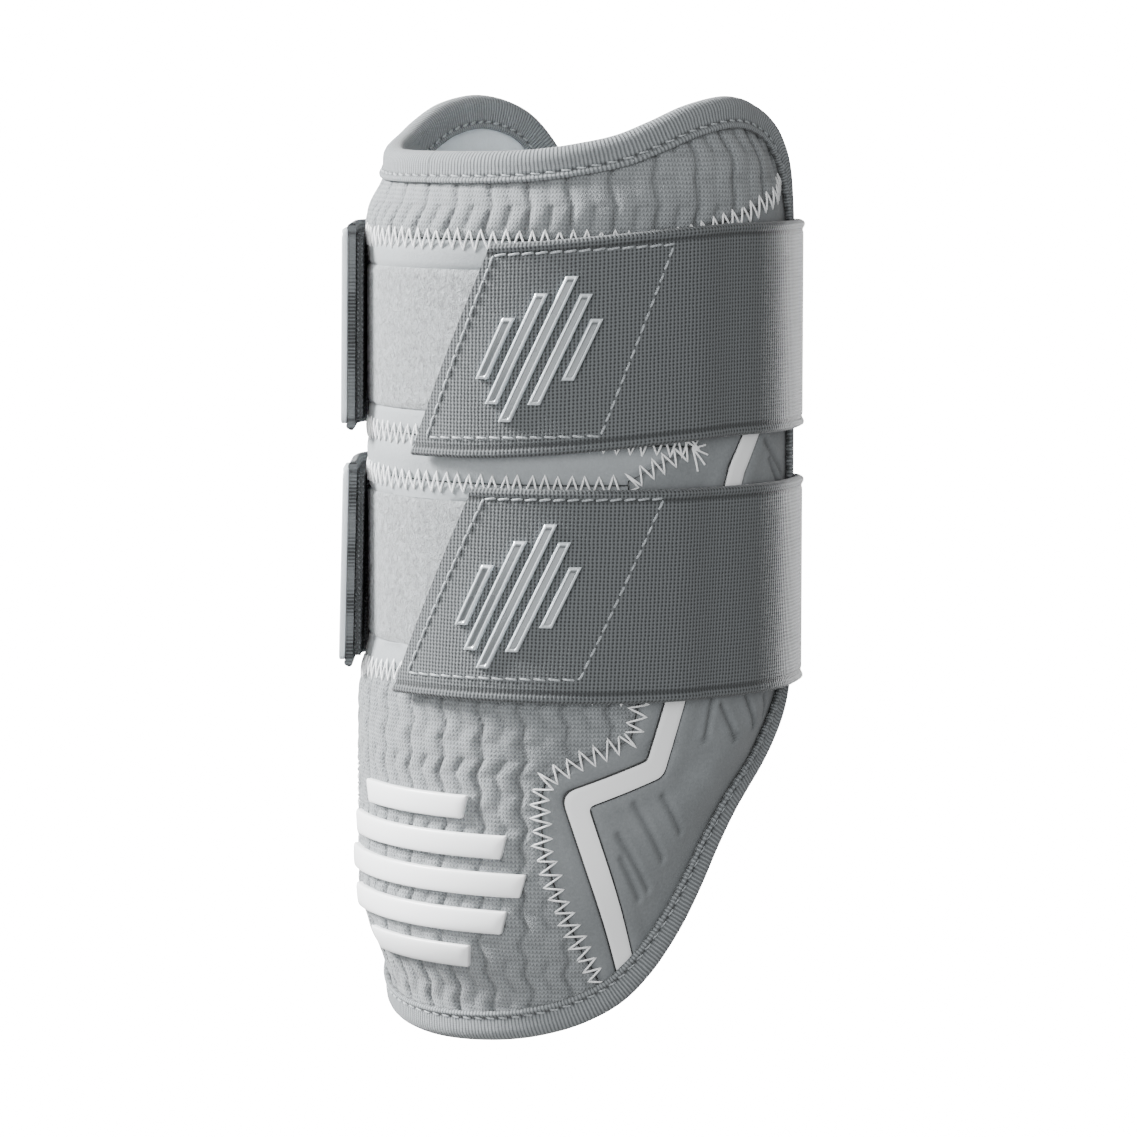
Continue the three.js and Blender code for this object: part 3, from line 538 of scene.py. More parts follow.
# cellular foam
def foamFinish(name, light, dark):
    finish = Finish(name, **{"Roughness": 0.95, "Specular IOR Level": 0.2})
    values = {"Vector": finish.onPiece(), "Scale": 900.0}
    cells = finish.add("ShaderNodeTexVoronoi", None, values, "Distance")
    finish.paint(finish.mix(finish.clamp(cells * 1.6), grey(dark), grey(light)))
    finish.bump(cells * 0.4)
    return finish.material


looks = {
    "knit": knitFinish("knitCloth", 0.31, 0.12),
    "base": smoothFinish("smoothCloth", 0.33, 0.27),
    "wing": smoothFinish("wingCloth", 0.215, 0.16),
    "loop": loopFinish("loopPile", 0.41, 0.16),
    "binding": bindingFinish("bindingTape", 0.3, 0.09),
    "elastic": elasticFinish("elasticWeave", 0.14, 0.02),
    "hook": hookFinish("hookTape", 0.14, 0.015),
    "lining": smoothFinish("liningCloth", 0.79, 0.7),
    "foam": foamFinish("cellFoam", 0.15, 0.08),
    "thread": threadFinish("whiteThread", 0.98, 0.8),
    "greyThread": threadFinish("greyThread", 0.42, 0.22),
    "bindingThread": threadFinish("bindingThread", 0.4, 0.22),
    "print": mouldedFinish("raisedPrint", 0.95, 0.9, 0.35),
    "stripe": mouldedFinish("stripeFilm", 0.9, 0.8, 0.4),
    # a near-black film under the stripe: painted shadow in the gap round its edges
    "bed": mouldedFinish("stripeBed", 0.02, 0.012, 0.7),
    "plate": mouldedFinish("platePlastic", 0.79, 0.5, 0.3, 0.1),
    "bar": mouldedFinish("barPlastic", 0.75, 0.16, 0.28, 0.35),
}
print("finishes made")


# mesh helpers

def deselect():
    if bpy.context.object and bpy.context.object.mode != "OBJECT":
        bpy.ops.object.mode_set(mode="OBJECT")
    bpy.ops.object.select_all(action="DESELECT")


def pick(piece):
    deselect()
    piece.select_set(True)
    bpy.context.view_layer.objects.active = piece


def tidyMesh(piece, merge=True, angle=50):
    pick(piece)
    if merge:
        bpy.ops.object.mode_set(mode="EDIT")
        bpy.ops.mesh.select_all(action="SELECT")
        bpy.ops.mesh.remove_doubles(threshold=0.000004)
        bpy.ops.object.mode_set(mode="OBJECT")
    bpy.ops.object.shade_smooth_by_angle(angle=math.radians(angle))


def dress(piece, look, slot, *nodes):
    piece.data.materials.clear()
    piece.data.materials.append(looks[look])
    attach(piece, "root")
    if nodes:
        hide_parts(*nodes)
    return piece


# where the mesh's corners are, a row each
def cornersOf(mesh):
    flat = np.empty(len(mesh.vertices) * 3)
    mesh.vertices.foreach_get("co", flat)
    return flat.reshape(-1, 3)


# the cloth map in millimetres, from a flat spot for each corner
def setCloth(mesh, spots):
    corner = np.empty(len(mesh.loops), dtype=int)
    mesh.loops.foreach_get("vertex_index", corner)
    uv = mesh.uv_layers.get("UVMap") or mesh.uv_layers.new(name="UVMap")
    uv.data.foreach_set("uv", spots[corner].ravel())


# a grid whose corners go to the given places, with an inside and walls where one is given
def clothPiece(name, outside, inside, cloth, paintedShadeAndBarGrey=None, bevel=None):
    deselect()
    columns, rows = outside.shape[0] - 1, outside.shape[1] - 1
    bpy.ops.mesh.primitive_grid_add(x_subdivisions=columns, y_subdivisions=rows, size=2)
    piece = bpy.context.object
    piece.name = name
    if inside is not None:
        wall = piece.modifiers.new("wall", "SOLIDIFY")
        wall.thickness = 0.1
        wall.offset = -1
        bpy.ops.object.modifier_apply(modifier="wall")
    mesh = piece.data
    flat = cornersOf(mesh)
    column = np.rint((flat[:, 0] + 1) / 2 * columns).astype(int)
    row = np.rint((flat[:, 1] + 1) / 2 * rows).astype(int)
    spots = outside[column, row]
    if inside is not None:
        under = flat[:, 2] < -0.05
        spots = np.where(under[:, None], inside[column, row], spots)
    mesh.vertices.foreach_set("co", (spots / 1000).ravel())
    setCloth(mesh, cloth[column, row])
    # the mask of painted shade in recesses, and of the tab bars' own grey middles
    if paintedShadeAndBarGrey is not None:
        mask = mesh.attributes.new("paintedShadeAndBarGrey", "FLOAT", "POINT")
        mask.data.foreach_set("value", paintedShadeAndBarGrey[column, row].astype(float).ravel())
    mesh.update()
    if bevel:
        edge = piece.modifiers.new("edge", "BEVEL")
        edge.width = bevel / 1000
        edge.segments = 3
        edge.limit_method = "ANGLE"
        edge.angle_limit = math.radians(50)
        bpy.ops.object.modifier_apply(modifier="edge")
    tidyMesh(piece)
    return piece


def shares(columns, rows):
    return np.meshgrid(np.linspace(0, 1, columns + 1), np.linspace(0, 1, rows + 1), indexing="ij")


# thread as round splines through points, made a mesh
def threadPiece(name, runs, radius):
    data = bpy.data.curves.new(name, "CURVE")
    data.dimensions = "3D"
    data.bevel_depth = radius / 1000
    data.bevel_resolution = 1
    data.use_fill_caps = True
    for run in runs:
        spline = data.splines.new("POLY")
        spline.points.add(len(run) - 1)
        spots = np.ones((len(run), 4))
        spots[:, :3] = np.array(run) / 1000
        spline.points.foreach_set("co", spots.ravel())
    piece = bpy.data.objects.new(name, data)
    bpy.context.collection.objects.link(piece)
    pick(piece)
    bpy.ops.object.convert(target="MESH")
    piece = bpy.context.object
    piece.name = name
    tidyMesh(piece, merge=False, angle=80)
    return piece


# faces out, after its doubles are merged
def facing(piece):
    pick(piece)
    bpy.ops.object.mode_set(mode="EDIT")
    bpy.ops.mesh.select_all(action="SELECT")
    bpy.ops.mesh.normals_make_consistent(inside=False)
    bpy.ops.object.mode_set(mode="OBJECT")


# panels

panels = {
    "cell": 0.68,
    "smoothCell": 1.0,
    "grooveDepth": 0.72,
    "grooveWidth": 0.66,
    "pillow": 0.42,
    "shelf": 0.14,
    "shelfWidth": 0.8,
    "jog": 1.7,
    "bandCrown": 0.3,
    # pitch of the quilt's columns and height of its rows
    "lowerQuilt": (10.2, 8.0),
    "upperQuilt": (10.4, 12.0),
}
panelEdge = RimEdges(sleeve["panelInset"])


# quilting: wavy grooves at half the pitch, strong and weak by turns, with scales swelling between
def knitRelief(angle, height, quilt):
    pitch, rowHeight = quilt
    across = arcOf(angle)
    step = pitch / 2
    turn = height / rowHeight
    sway = panels["jog"] * (np.abs((turn * 2) % 2 - 1) - 0.5)
    sway = sway + 0.5 * np.sin(height * 0.31 + across * 0.05)
    line = (across + sway) / step
    near = np.rint(line)
    gap = (line - near) * step
    row = turn - 0.5 - np.rint(turn - 0.5)
    change = np.floor(turn - 0.5) + rise(row, 0.3, 0.5) * 0.5 + rise(row, -0.5, -0.3) * 0.5 + 0.5
    main = near % 2 == 0
    strong = np.where(main, 0.8, 0.1) + np.where(main, 0.2, 0.5) * (0.5 + 0.5 * np.cos(math.pi * change))
    depth = panels["grooveDepth"] * strong
    groove = hump(gap, panels["grooveWidth"])
    cell = np.floor(line)
    rising = (turn + 0.5 * (cell % 2)) % 1
    crown = np.sin(math.pi * (line - cell))
    swell = np.sin(math.pi * rising) * crown
    shelf = hump(np.minimum(rising, 1 - rising) * rowHeight, panels["shelfWidth"]) * crown
    lift = panels["pillow"] * swell - depth * groove - panels["shelf"] * shelf
    # the mask is painted shade in the grooves and along each row's shelf
    paintedShadeAndBarGrey = groove * strong * 0.85 + 0.3 * shelf
    return lift, paintedShadeAndBarGrey


# angle and height over a middle panel between its foot and head edges and both wing seams
def middleSpread(columns, rows, foot, head):
    u, v = shares(columns, rows)
    angle = (2 * u - 1) * 60
    height = blend(foot(angle), head(angle), v)
    for _ in range(12):
        half = wingSeamAngle(height) - angleOf(sleeve["seam"] / 2)
        angle = (2 * u - 1) * half
        height = blend(foot(angle), head(angle), v)
    return angle, height


def panelPiece(name, look, slot, angle, height, lift, paintedShadeAndBarGrey):
    skin = skinAt(angle, height)
    outside = place(angle, height, skin + lift)
    inside = place(angle, height, skin - sleeve["panelThick"])
    piece = clothPiece(name, outside, inside, unrolled(angle, height), paintedShadeAndBarGrey)
    dress(piece, look, slot)
    return piece


def seamedBy(angle, height, lift, paintedShadeAndBarGrey, distances):
    near = np.minimum.reduce(distances)
    lift = lift * rise(near, 0, 2.5) + seamDip(near)
    # painted shade along the sunk seams
    paintedShadeAndBarGrey = np.maximum(paintedShadeAndBarGrey * rise(near, 0, 1.5), (1 - rise(near, 0, 0.9)) * 0.75)
    return lift, paintedShadeAndBarGrey


loopPatches = {
    "upper": {"around": 0.44, "foot": 0.669, "head": 0.819},
    "lower": {"around": 0.395, "foot": 0.4163, "head": 0.5752},
    "thick": 1.2,
    "bed": 1.7,
    "proud": 0.12,
    "curl": 0.5,
    "cell": 0.8,
}


# how far inside a loop patch's edge a point is, negative outside
def patchDepth(patch, angle, height):
    side = arcOf(patch["around"] * wrap) - np.abs(arcOf(angle))
    ends = np.minimum(height - patch["foot"] * length, patch["head"] * length - height)
    return np.minimum(side, ends)


def addMiddlePanels():
    half = sleeve["seam"] / 2
    smooth = panels["smoothCell"]
    above = lambda seam: lambda angle: seamHeight(seam, angle) + half
    below = lambda seam: lambda angle: seamHeight(seam, angle) - half
    rows = [
        ("knitLower", "knit_panel_lower", "knit", panelEdge.foot, below("elbow"), panels["cell"]),
        ("loopBaseLower", "loop_base_lower", "base", above("elbow"), below("bandFoot"), smooth),
        ("middleBand", "middle_band", "base", above("bandFoot"), below("bandTop"), smooth),
        ("loopBaseUpper", "loop_base_upper", "base", above("bandTop"), below("top"), smooth),
    ]
    for name, node, look, foot, head, cell in rows:
        tall = float(head(0.0) - foot(0.0))
        wide = 2 * float(arcOf(wingSeamAngle(float(foot(0.0)) + tall * 0.8)))
        angle, height = middleSpread(round(wide / cell), round(tall / cell), foot, head)
        sides = lineDistance(np.abs(angle), height, wingLine(1))
        distances = [sides, head(angle) - height]
        if look == "base":
            distances.append(height - foot(angle))
        if look == "knit":
            lift, paintedShadeAndBarGrey = knitRelief(angle, height, panels["lowerQuilt"])
        elif name == "middleBand":
            share = np.clip((height - foot(angle)) / tall, 0, 1)
            lift = panels["bandCrown"] * np.cos((2 * share - 1) * math.pi)
            paintedShadeAndBarGrey = 0 * lift
        else:
            # sunk under the loop patch, with a soft dip round it
            patch = loopPatches["upper"] if name.endswith("Upper") else loopPatches["lower"]
            depth = patchDepth(patch, angle, height)
            lift = -loopPatches["bed"] * rise(depth, -0.2, 0.6) - 0.25 * hump(depth + 1.2, 1.1)
            # painted shade along the step at the loop patch's edge
            paintedShadeAndBarGrey = 0.2 * hump(depth + 0.4, 0.5)
        lift, paintedShadeAndBarGrey = seamedBy(angle, height, lift, paintedShadeAndBarGrey, distances)
        slot = "knit" if look == "knit" else "smooth_panel"
        piece = panelPiece(name, look, slot, angle, height, lift, paintedShadeAndBarGrey)
        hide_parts(node)


def addUpperKnit():
    foot = lambda angle: seamHeight("top", angle) + sleeve["seam"] / 2
    angles = np.linspace(60, wrap, 2000)
    tip = angles[np.argmax(panelEdge.head(angles) - foot(angles) < 0.05)]
    u, v = shares(round(2 * float(arcOf(tip)) / panels["cell"]), round(30 / panels["cell"]))
    angle = (2 * u - 1) * tip
    height = blend(foot(angle), np.maximum(panelEdge.head(angle), foot(angle)), v)
    lift, paintedShadeAndBarGrey = knitRelief(angle, height, panels["upperQuilt"])
    lift, paintedShadeAndBarGrey = seamedBy(angle, height, lift, paintedShadeAndBarGrey, [height - foot(angle)])
    piece = panelPiece("knitUpper", "knit", "knit", angle, height, lift, paintedShadeAndBarGrey)
    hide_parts("knit_panel_upper")


# wings

stripe = {
    "rows": [
        (0.775, 0.6715), (0.702, 0.607), (0.56, 0.3751),
        (0.511, 0.2954), (0.354, 0.2641), (0.466, 0.0732),
    ],
    "width": 4.9,
    "inner": 1.5,
    "outer": 3.6,
    "proud": 0.2,
    "thick": 1.2,
    "crown": 0.16,
    # how far the ribbon of painted shadow shows past each edge of the stripe
    "bed": 0.42,
    "ditch": 1.1,
}
wings = {
    "cell": 0.6,
    "depth": 0.8,
    "width": 0.7,
    "lip": 0.16,
    "valleyDepth": 0.4,
    "valleyWidth": 3,
    "grooves": [
        ((57.2, 50.7), (65.8, 36.8)), ((61.3, 58), (69.6, 44)), ((69.1, 59.3), (74.7, 50.2)),
        ((84.3, 82.9), (81.8, 71.9)), ((86.9, 79.9), (92.2, 71.3)), ((95.9, 81.3), (100.1, 73.7)),
        ((103.7, 80.8), (107.2, 75.6)), ((57.9, 45), (63.2, 34.8)), ((103.1, 142), (113, 133)),
        ((105.5, 137.5), (111, 130)),
    ],
    "valleys": [((80.6, 67.2), (69.6, 60.7)), ((96, 72), (88, 66))],
}


def stripeLine():
    return [(around * wrap, along * length) for around, along in stripe["rows"]]


# a line on the unrolled sleeve moved to its left, its corners rounded to a radius
def roundedLine(line, shift, radius, steps=8, straight=10):
    flat = unrolledLine(line)
    into = np.diff(flat, axis=0)
    into = into / np.linalg.norm(into, axis=1)[:, None]
    left = np.stack([-into[:, 1], into[:, 0]], axis=1)
    moved = [flat[0] + left[0] * shift]
    for index in range(1, len(flat) - 1):
        middle = left[index - 1] + left[index]
        middle = middle / np.linalg.norm(middle)
        moved.append(flat[index] + middle * shift / middle.dot(left[index]))
    moved.append(flat[-1] + left[-1] * shift)
    moved = np.array(moved)
    points = [moved[0]]
    for index in range(1, len(moved) - 1):
        turn = math.acos(max(-1.0, min(1.0, float(into[index - 1].dot(into[index])))))
        cut = radius[0] if np.cross(into[index - 1], into[index]) * shift > 0 else radius[1]
        reach = min(cut * math.tan(turn / 2) + 0.3, 8)
        start = moved[index] - into[index - 1] * reach
        end = moved[index] + into[index] * reach
        last = points[-1]
        points += [blend(last, start, step / straight) for step in range(1, straight + 1)]
        points += [roundCorner(start, moved[index], end, step / steps) for step in range(1, steps + 1)]
    last = points[-1]
    points += [blend(last, moved[-1], step / straight) for step in range(1, straight + 1)]
    return np.array(points)


def ribbonPiece(name, side, width, low, high, crown, look):
    line = stripeLine()
    radii = (stripe["inner"], stripe["outer"])
    right = roundedLine(line, -width / 2, radii)
    left = roundedLine(line, width / 2, radii)
    across = np.linspace(0, 1, 9)[None, :, None]
    flat = blend(right[:, None], left[:, None], across)
    if side > 0:
        flat = flat[:, ::-1]
    angle = angleOf(flat[..., 0]) * side
    height = flat[..., 1]
    skin = skinAt(angle, height)
    edge = 1 - np.abs(2 * across[..., 0] - 1)
    curl = crown * (1 - rise(edge, 0, 0.25))
    outside = place(angle, height, skin + high - curl)
    inside = place(angle, height, skin + low)
    travel = travelOf(flat[:, 4])
    cloth = np.stack([travel[:, None] + 0 * angle, width * across[..., 0] + 0 * angle], axis=-1)
    piece = clothPiece(name, outside, inside, cloth)
    facing(piece)
    return dress(piece, look, "stripe")


def wingRelief(angle, height):
    around = np.abs(angle)
    lift = 0 * around
    paintedShadeAndBarGrey = 0 * around
    for start, end in wings["grooves"]:
        gap = lineDistance(around, height, [start, end])
        lift = lift - wings["depth"] * hump(gap, wings["width"]) + wings["lip"] * hump(gap - 1.6, 1.0)
        # painted shade in each groove
        paintedShadeAndBarGrey = np.maximum(paintedShadeAndBarGrey, 0.9 * hump(gap, 0.6))
    for start, end in wings["valleys"]:
        gap = lineDistance(around, height, [start, end])
        lift = lift - wings["valleyDepth"] * hump(gap, wings["valleyWidth"])
    # the stripe lies in a ditch with a soft swell beside it
    gap = lineDistance(around, height, stripeLine())
    lift = lift * rise(gap, 2, 5) - stripe["ditch"] * (1 - rise(gap, 2.3, 3.3))
    lift = lift + 0.25 * hump(gap - 5, 1.6)
    return lift, paintedShadeAndBarGrey


def addWings():
    topAngles = np.linspace(0.6 * wrap, wrap, 3000)
    half = sleeve["seam"] / 2
    topLine = seamHeight("top", topAngles) - half
    reached = panelEdge.head(topAngles) < topLine
    headTip = float(topLine[np.argmax(reached)])
    heights = np.linspace(0, 0.3 * length, 3000)
    footTip = float(heights[np.argmax(panelEdge.side(heights) > wingSeamAngle(heights) + angleOf(half))])
    for side, which in [(1, "Right"), (-1, "Left")]:
        u, v = shares(round(66 / wings["cell"]), round((headTip - footTip) / wings["cell"]))
        height = blend(footTip, headTip, v)
        inner = wingSeamAngle(height) + angleOf(half)
        topInner = np.interp(height, topLine, topAngles)
        inner = np.where(height > topLine[0], np.maximum(inner, topInner), inner)
        outer = np.maximum(panelEdge.side(height), inner)
        share = u if side > 0 else 1 - u
        angle = side * blend(inner, outer, share)
        seamGap = lineDistance(np.abs(angle), height, wingLine(1))
        topGap = np.maximum(seamHeight("top", angle) - half - height, 0)
        lift, paintedShadeAndBarGrey = wingRelief(angle, height)
        lift, paintedShadeAndBarGrey = seamedBy(angle, height, lift, paintedShadeAndBarGrey, [np.abs(seamGap - half), topGap])
        node = "wing_panel_right" if side > 0 else "wing_panel_left"
        piece = panelPiece("wing" + which, "wing", "wing_panel", angle, height, lift, paintedShadeAndBarGrey)
        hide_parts(node)
        high = stripe["proud"]
        low = high - stripe["thick"]
        film = ribbonPiece("stripe" + which, side, stripe["width"], low, high, stripe["crown"], "stripe")
        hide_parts("stripe_right" if side > 0 else "stripe_left")
        # the near-black ribbon under the stripe is painted shadow in the gap round the stripe's edges
        width = stripe["width"] + 2 * stripe["bed"]
        ribbonPiece("stripeBed" + which, side, width, low - 0.2, -0.25, 0.1, "bed")


def addLoopPatches():
    for which in ("upper", "lower"):
        patch = loopPatches[which]
        reach = float(arcOf(patch["around"] * wrap))
        foot, head = patch["foot"] * length, patch["head"] * length
        u, v = shares(round(2 * reach / loopPatches["cell"]), round((head - foot) / loopPatches["cell"]))
        angle = angleOf((2 * u - 1) * reach)
        height = blend(foot, head, v)
        depth = patchDepth(patch, angle, height)
        rough = 0.12 * np.sin(angle * 2.3 + height * 0.9) * np.sin(height * 1.7 - angle * 1.1)
        skin = skinAt(angle, height)
        lift = loopPatches["proud"] + rough - loopPatches["curl"] * (1 - rise(depth, 0, 1))
        outside = place(angle, height, skin + lift)
        inside = place(angle, height, skin - loopPatches["thick"])
        piece = clothPiece("loopPile" + which.capitalize(), outside, inside, unrolled(angle, height))
        dress(piece, "loop", "loop_patch", "loop_patch_" + which)


# lining and foam pad under the panels

innerLayers = {"cell": 2.2}


# a sheet between two radii, its corners closer together towards the rim
def sleeveSheet(name, inset, outside, inside):
    edge = RimEdges(inset)
    widest = edge.widest - 0.05
    u, v = shares(round(2 * arcOf(widest) / innerLayers["cell"]), round(length / innerLayers["cell"]))
    side = 2 * u - 1
    angle = np.sign(side) * (1 - (1 - np.abs(side)) ** 1.5) * widest
    height = blend(edge.foot(angle), edge.head(angle), v)
    outer = place(angle, height, outside(angle, height))
    inner = place(angle, height, inside(angle, height))
    return clothPiece(name, outer, inner, unrolled(angle, height))


def addInnerLayers():
    liningOut = lambda angle, height: liningInside(angle) + sleeve["liningThick"]
    liningIn = lambda angle, height: liningInside(angle)
    lining = sleeveSheet("liningCloth", sleeve["panelInset"], liningOut, liningIn)
    dress(lining, "lining", "lining", "lining")
    foamOut = lambda angle, height: skinAt(angle, height) - sleeve["panelThick"] - sleeve["seat"]
    foamIn = lambda angle, height: liningOut(angle, height) + sleeve["seat"]
    foam = sleeveSheet("foamPad", sleeve["foamInset"], foamOut, foamIn)
    dress(foam, "foam", "foam", "foam_core")


# binding folded over the rim

binding = {
    "thick": 1,
    "outer": 7.3,
    "inner": 8.3,
    "gap": 1.5,
    "steps": 900,
    "bead": 0.42,
    "stitchInset": 1.5,
    "stitchPitch": 3.4,
    "stitchRadius": 0.24,
}
stitchCount = round(rimLength / binding["stitchPitch"])


# the tape's section: kind, inset or turn round the nose, offset, and distance from the tape's edge
def bindingSection():
    thick = sleeve["seat"] + binding["thick"]
    stitched = binding["stitchInset"]
    away = 9
    rows = []
    for inset in (8.3, 8.0, 7.7, 7.4, 7.1, 6.8, 6.5, 6.1, 5.2, 4.2):
        mark = binding["inner"] - inset
        bead = binding["bead"] * hump(mark - 0.6, 0.5) - 0.2 * hump(mark - stitched, 0.4)
        rows.append(("lining", inset, thick + bead, mark))
    for turn in (-90, -72, -54, -36, -18, 0, 18, 36, 54, 72, 90):
        rows.append(("nose", turn, 0, away))
    for inset in (3.7, 4.3, 4.9, 5.3, 5.55, 5.8, 6.05, 6.3, 6.55, 6.8, 7.05, 7.3):
        mark = binding["outer"] - inset
        bead = binding["bead"] * hump(mark - 0.6, 0.45) - 0.32 * hump(mark - stitched, 0.35)
        rows.append(("skin", inset, thick + bead, mark))
    for inset, offset in ((7.5, thick * 0.75), (7.55, thick * 0.5), (7.4, sleeve["seat"])):
        rows.append(("skin", inset, offset, 1.5))
    gap = binding["gap"]
    for kind, inset in (("skin", 4.5), ("skin", gap), ("lining", gap), ("lining", 4.5)):
        rows.append((kind, inset, sleeve["seat"], away))
    for inset, offset in ((8.3, sleeve["seat"]), (8.5, thick * 0.5), (8.45, thick * 0.8)):
        rows.append(("lining", inset, offset, away))
    return rows


# angle and height at spots of the moved rim, counted in its points
def ringSpots(inset, spots):
    angle, height = ringAt(inset)
    index = np.arange(len(angle) + 1)
    return [np.interp(spots, index, np.append(values, values[0])) for values in (angle, height)]


def ringSamples(count, inset):
    return ringSpots(inset, np.linspace(0, len(rimPoints), count + 1))


def bindingSpot(kind, value, offset, count):
    if kind == "nose":
        inset = sleeve["noseRadius"] * (1 - math.cos(math.radians(value)))
        angle, height = ringSamples(count, inset)
        edge, _ = ringSamples(count, 0)
        middle = (sleeve["rim"] + sleeve["lining"]) / 2 + sleeve["wingLift"] * wingShare(edge)
        radius = middle + sleeve["noseRadius"] * math.sin(math.radians(value))
    else:
        angle, height = ringSamples(count, value)
        if kind == "skin":
            radius = skinOutside(angle, height, value + 0 * angle) + offset
        else:
            radius = liningInside(angle) - offset
    return angle, height, radius


def addBinding():
    rows = bindingSection()
    count = binding["steps"]
    spots = []
    marks = []
    for kind, value, offset, mark in rows:
        angle, height, radius = bindingSpot(kind, value, offset, count)
        spots.append(place(angle, height, radius))
        marks.append(mark)
    spots.append(spots[0])
    marks.append(marks[0])
    outside = np.array(spots)
    across = travelOf(outside)
    along = np.linspace(0, rimLength, count + 1)[None, :] + 0 * across
    cloth = np.stack([across, along], axis=-1)
    fromEdge = np.array(marks)[:, None] + 0 * along
    # painted shade along the stitch line, deepest at each stitch hole
    stitch = hump(fromEdge - binding["stitchInset"], 0.42)
    dots = 0.5 + 0.5 * np.cos(along * 2 * math.pi * stitchCount / rimLength)
    paintedShadeAndBarGrey = stitch * (0.2 + 0.8 * dots)
    piece = clothPiece("rimBinding", outside, None, cloth, paintedShadeAndBarGrey)
    facing(piece)
    dress(piece, "binding", "binding", "rim_binding")


# one slightly slanted stitch after another on both faces of the tape
def addBindingStitches():
    thick = sleeve["seat"] + binding["thick"]
    index = np.arange(stitchCount)
    runs = []
    for kind, edge in (("skin", binding["outer"]), ("lining", binding["inner"])):
        lines = []
        for share in np.linspace(0, 1, 5):
            inset = edge - binding["stitchInset"] + 0.35 * (share - 0.5)
            spots = (index + 0.22 + 0.56 * share) / stitchCount * len(rimPoints)
            angle, height = ringSpots(inset, spots)
            lift = thick - 0.25 + 0.3 * math.sin(math.pi * share)
            if kind == "skin":
                radius = skinOutside(angle, height, inset) + lift
            else:
                radius = liningInside(angle) - lift
            lines.append(place(angle, height, radius))
        runs += list(np.stack(lines, axis=1))
    thread = threadPiece("bindingStitches", runs, binding["stitchRadius"])
    dress(thread, "bindingThread", "binding")


# zigzag thread over the seams

zigzag = {"pitch": 3.2, "tall": 4.8, "radius": 0.25, "lift": 0.3, "slack": 0.16, "seed": 5}
# a small fan of stitches on each wing
fan = {"angle": 77.4, "height": 141.2, "reach": 4.2, "drop": 1.5, "turns": range(-70, 100, 34)}
hand = np.random.default_rng(zigzag["seed"])


def zigzagRun(line, first=0.0):
    flat = unrolledLine(line)
    spots = np.arange(first, travelOf(flat)[-1], zigzag["pitch"] / 2)
    x, y = alongLine(flat, spots).T
    ahead = alongLine(flat, spots + 1.5) - alongLine(flat, spots - 1.5)
    ahead = ahead / np.linalg.norm(ahead, axis=1)[:, None]
    side = np.where(np.arange(len(spots)) % 2 == 0, 0.5, -0.5) * zigzag["tall"]
    x = x - ahead[:, 1] * side + hand.normal(0, zigzag["slack"], len(spots))
    y = y + ahead[:, 0] * side + hand.normal(0, zigzag["slack"], len(spots))
    share = np.linspace(0, 1, 6)[None, :-1]
    across = blend(x[:-1, None], x[1:, None], share)
    along = blend(y[:-1, None], y[1:, None], share)
    arch = np.sin(math.pi * share) + 0 * across
    angle = angleOf(across).ravel()
    height = along.ravel()
    radius = skinAt(angle, height) + 0.02 + zigzag["lift"] * arch.ravel()
    return place(angle, height, radius)


def addZigzags():
    runs = []
    angles = np.linspace(-0.93 * wrap, 0.93 * wrap, 160)
    runs.append(zigzagRun([(angle, float(seamHeight("top", angle))) for angle in angles]))
    for name in ("bandTop", "bandFoot", "elbow"):
        edge = float(wingSeamAngle(float(seamHeight(name, 60)))) - 1
        angles = np.linspace(-edge, edge, 120)
        runs.append(zigzagRun([(angle, float(seamHeight(name, angle))) for angle in angles], 0.6))
    for side in (1, -1):
        heights = np.linspace(0.052 * length, 0.868 * length, 200)
        runs.append(zigzagRun([(side * float(wingSeamAngle(height)), height) for height in heights], 0.9))
    share = np.linspace(0, 1, 5)
    for side in (1, -1):
        for turn in np.radians(fan["turns"]):
            tip = fan["angle"] + angleOf(fan["reach"] * math.cos(turn))
            rising = fan["reach"] * math.sin(turn) - fan["drop"]
            angle = side * blend(fan["angle"], tip, share)
            height = fan["height"] + rising * share
            lift = 0.1 + 0.2 * np.sin(math.pi * share)
            runs.append(place(angle, height, skinAt(angle, height) + lift))
    thread = threadPiece("seamZigzags", runs, zigzag["radius"])
    dress(thread, "thread", "raised_print")


# raised bars on the elbow

frontBars = {
    "tall": 5.6,
    "pitch": 9,
    "thick": 1.6,
    "widest": 64,
    "middle": 38.5,
    "slope": 1.5,
    "curl": 0.35,
    "cell": 0.9,
    "shares": [0.56, 0.86, 1, 0.86, 0.56],
}


def addFrontBars():
    for index, share in enumerate(frontBars["shares"]):
        middle = frontBars["middle"] + frontBars["pitch"] * (index - 2)
        half = frontBars["widest"] * share / 2
        u, v = shares(round(half * 2 / frontBars["cell"]), 6)
        reach = half - frontBars["slope"] * (1 - v)
        angle = angleOf((2 * u - 1) * reach)
        height = middle + frontBars["tall"] * (v - 0.5)
        skin = skinAt(angle, height)
        edge = np.minimum(reach - np.abs(arcOf(angle)), np.minimum(v, 1 - v) * frontBars["tall"])
        lift = sleeve["seat"] + frontBars["thick"] - frontBars["curl"] * (1 - rise(edge, 0, 1.6))
        outside = place(angle, height, skin + lift)
        inside = place(angle, height, skin - 0.2)
        cloth = unrolled(angle, height)
        piece = clothPiece(f"frontBar{index + 1}", outside, inside, cloth, bevel=0.4)
        dress(piece, "print", "raised_print", f"front_bar_{index + 1}")


# straps

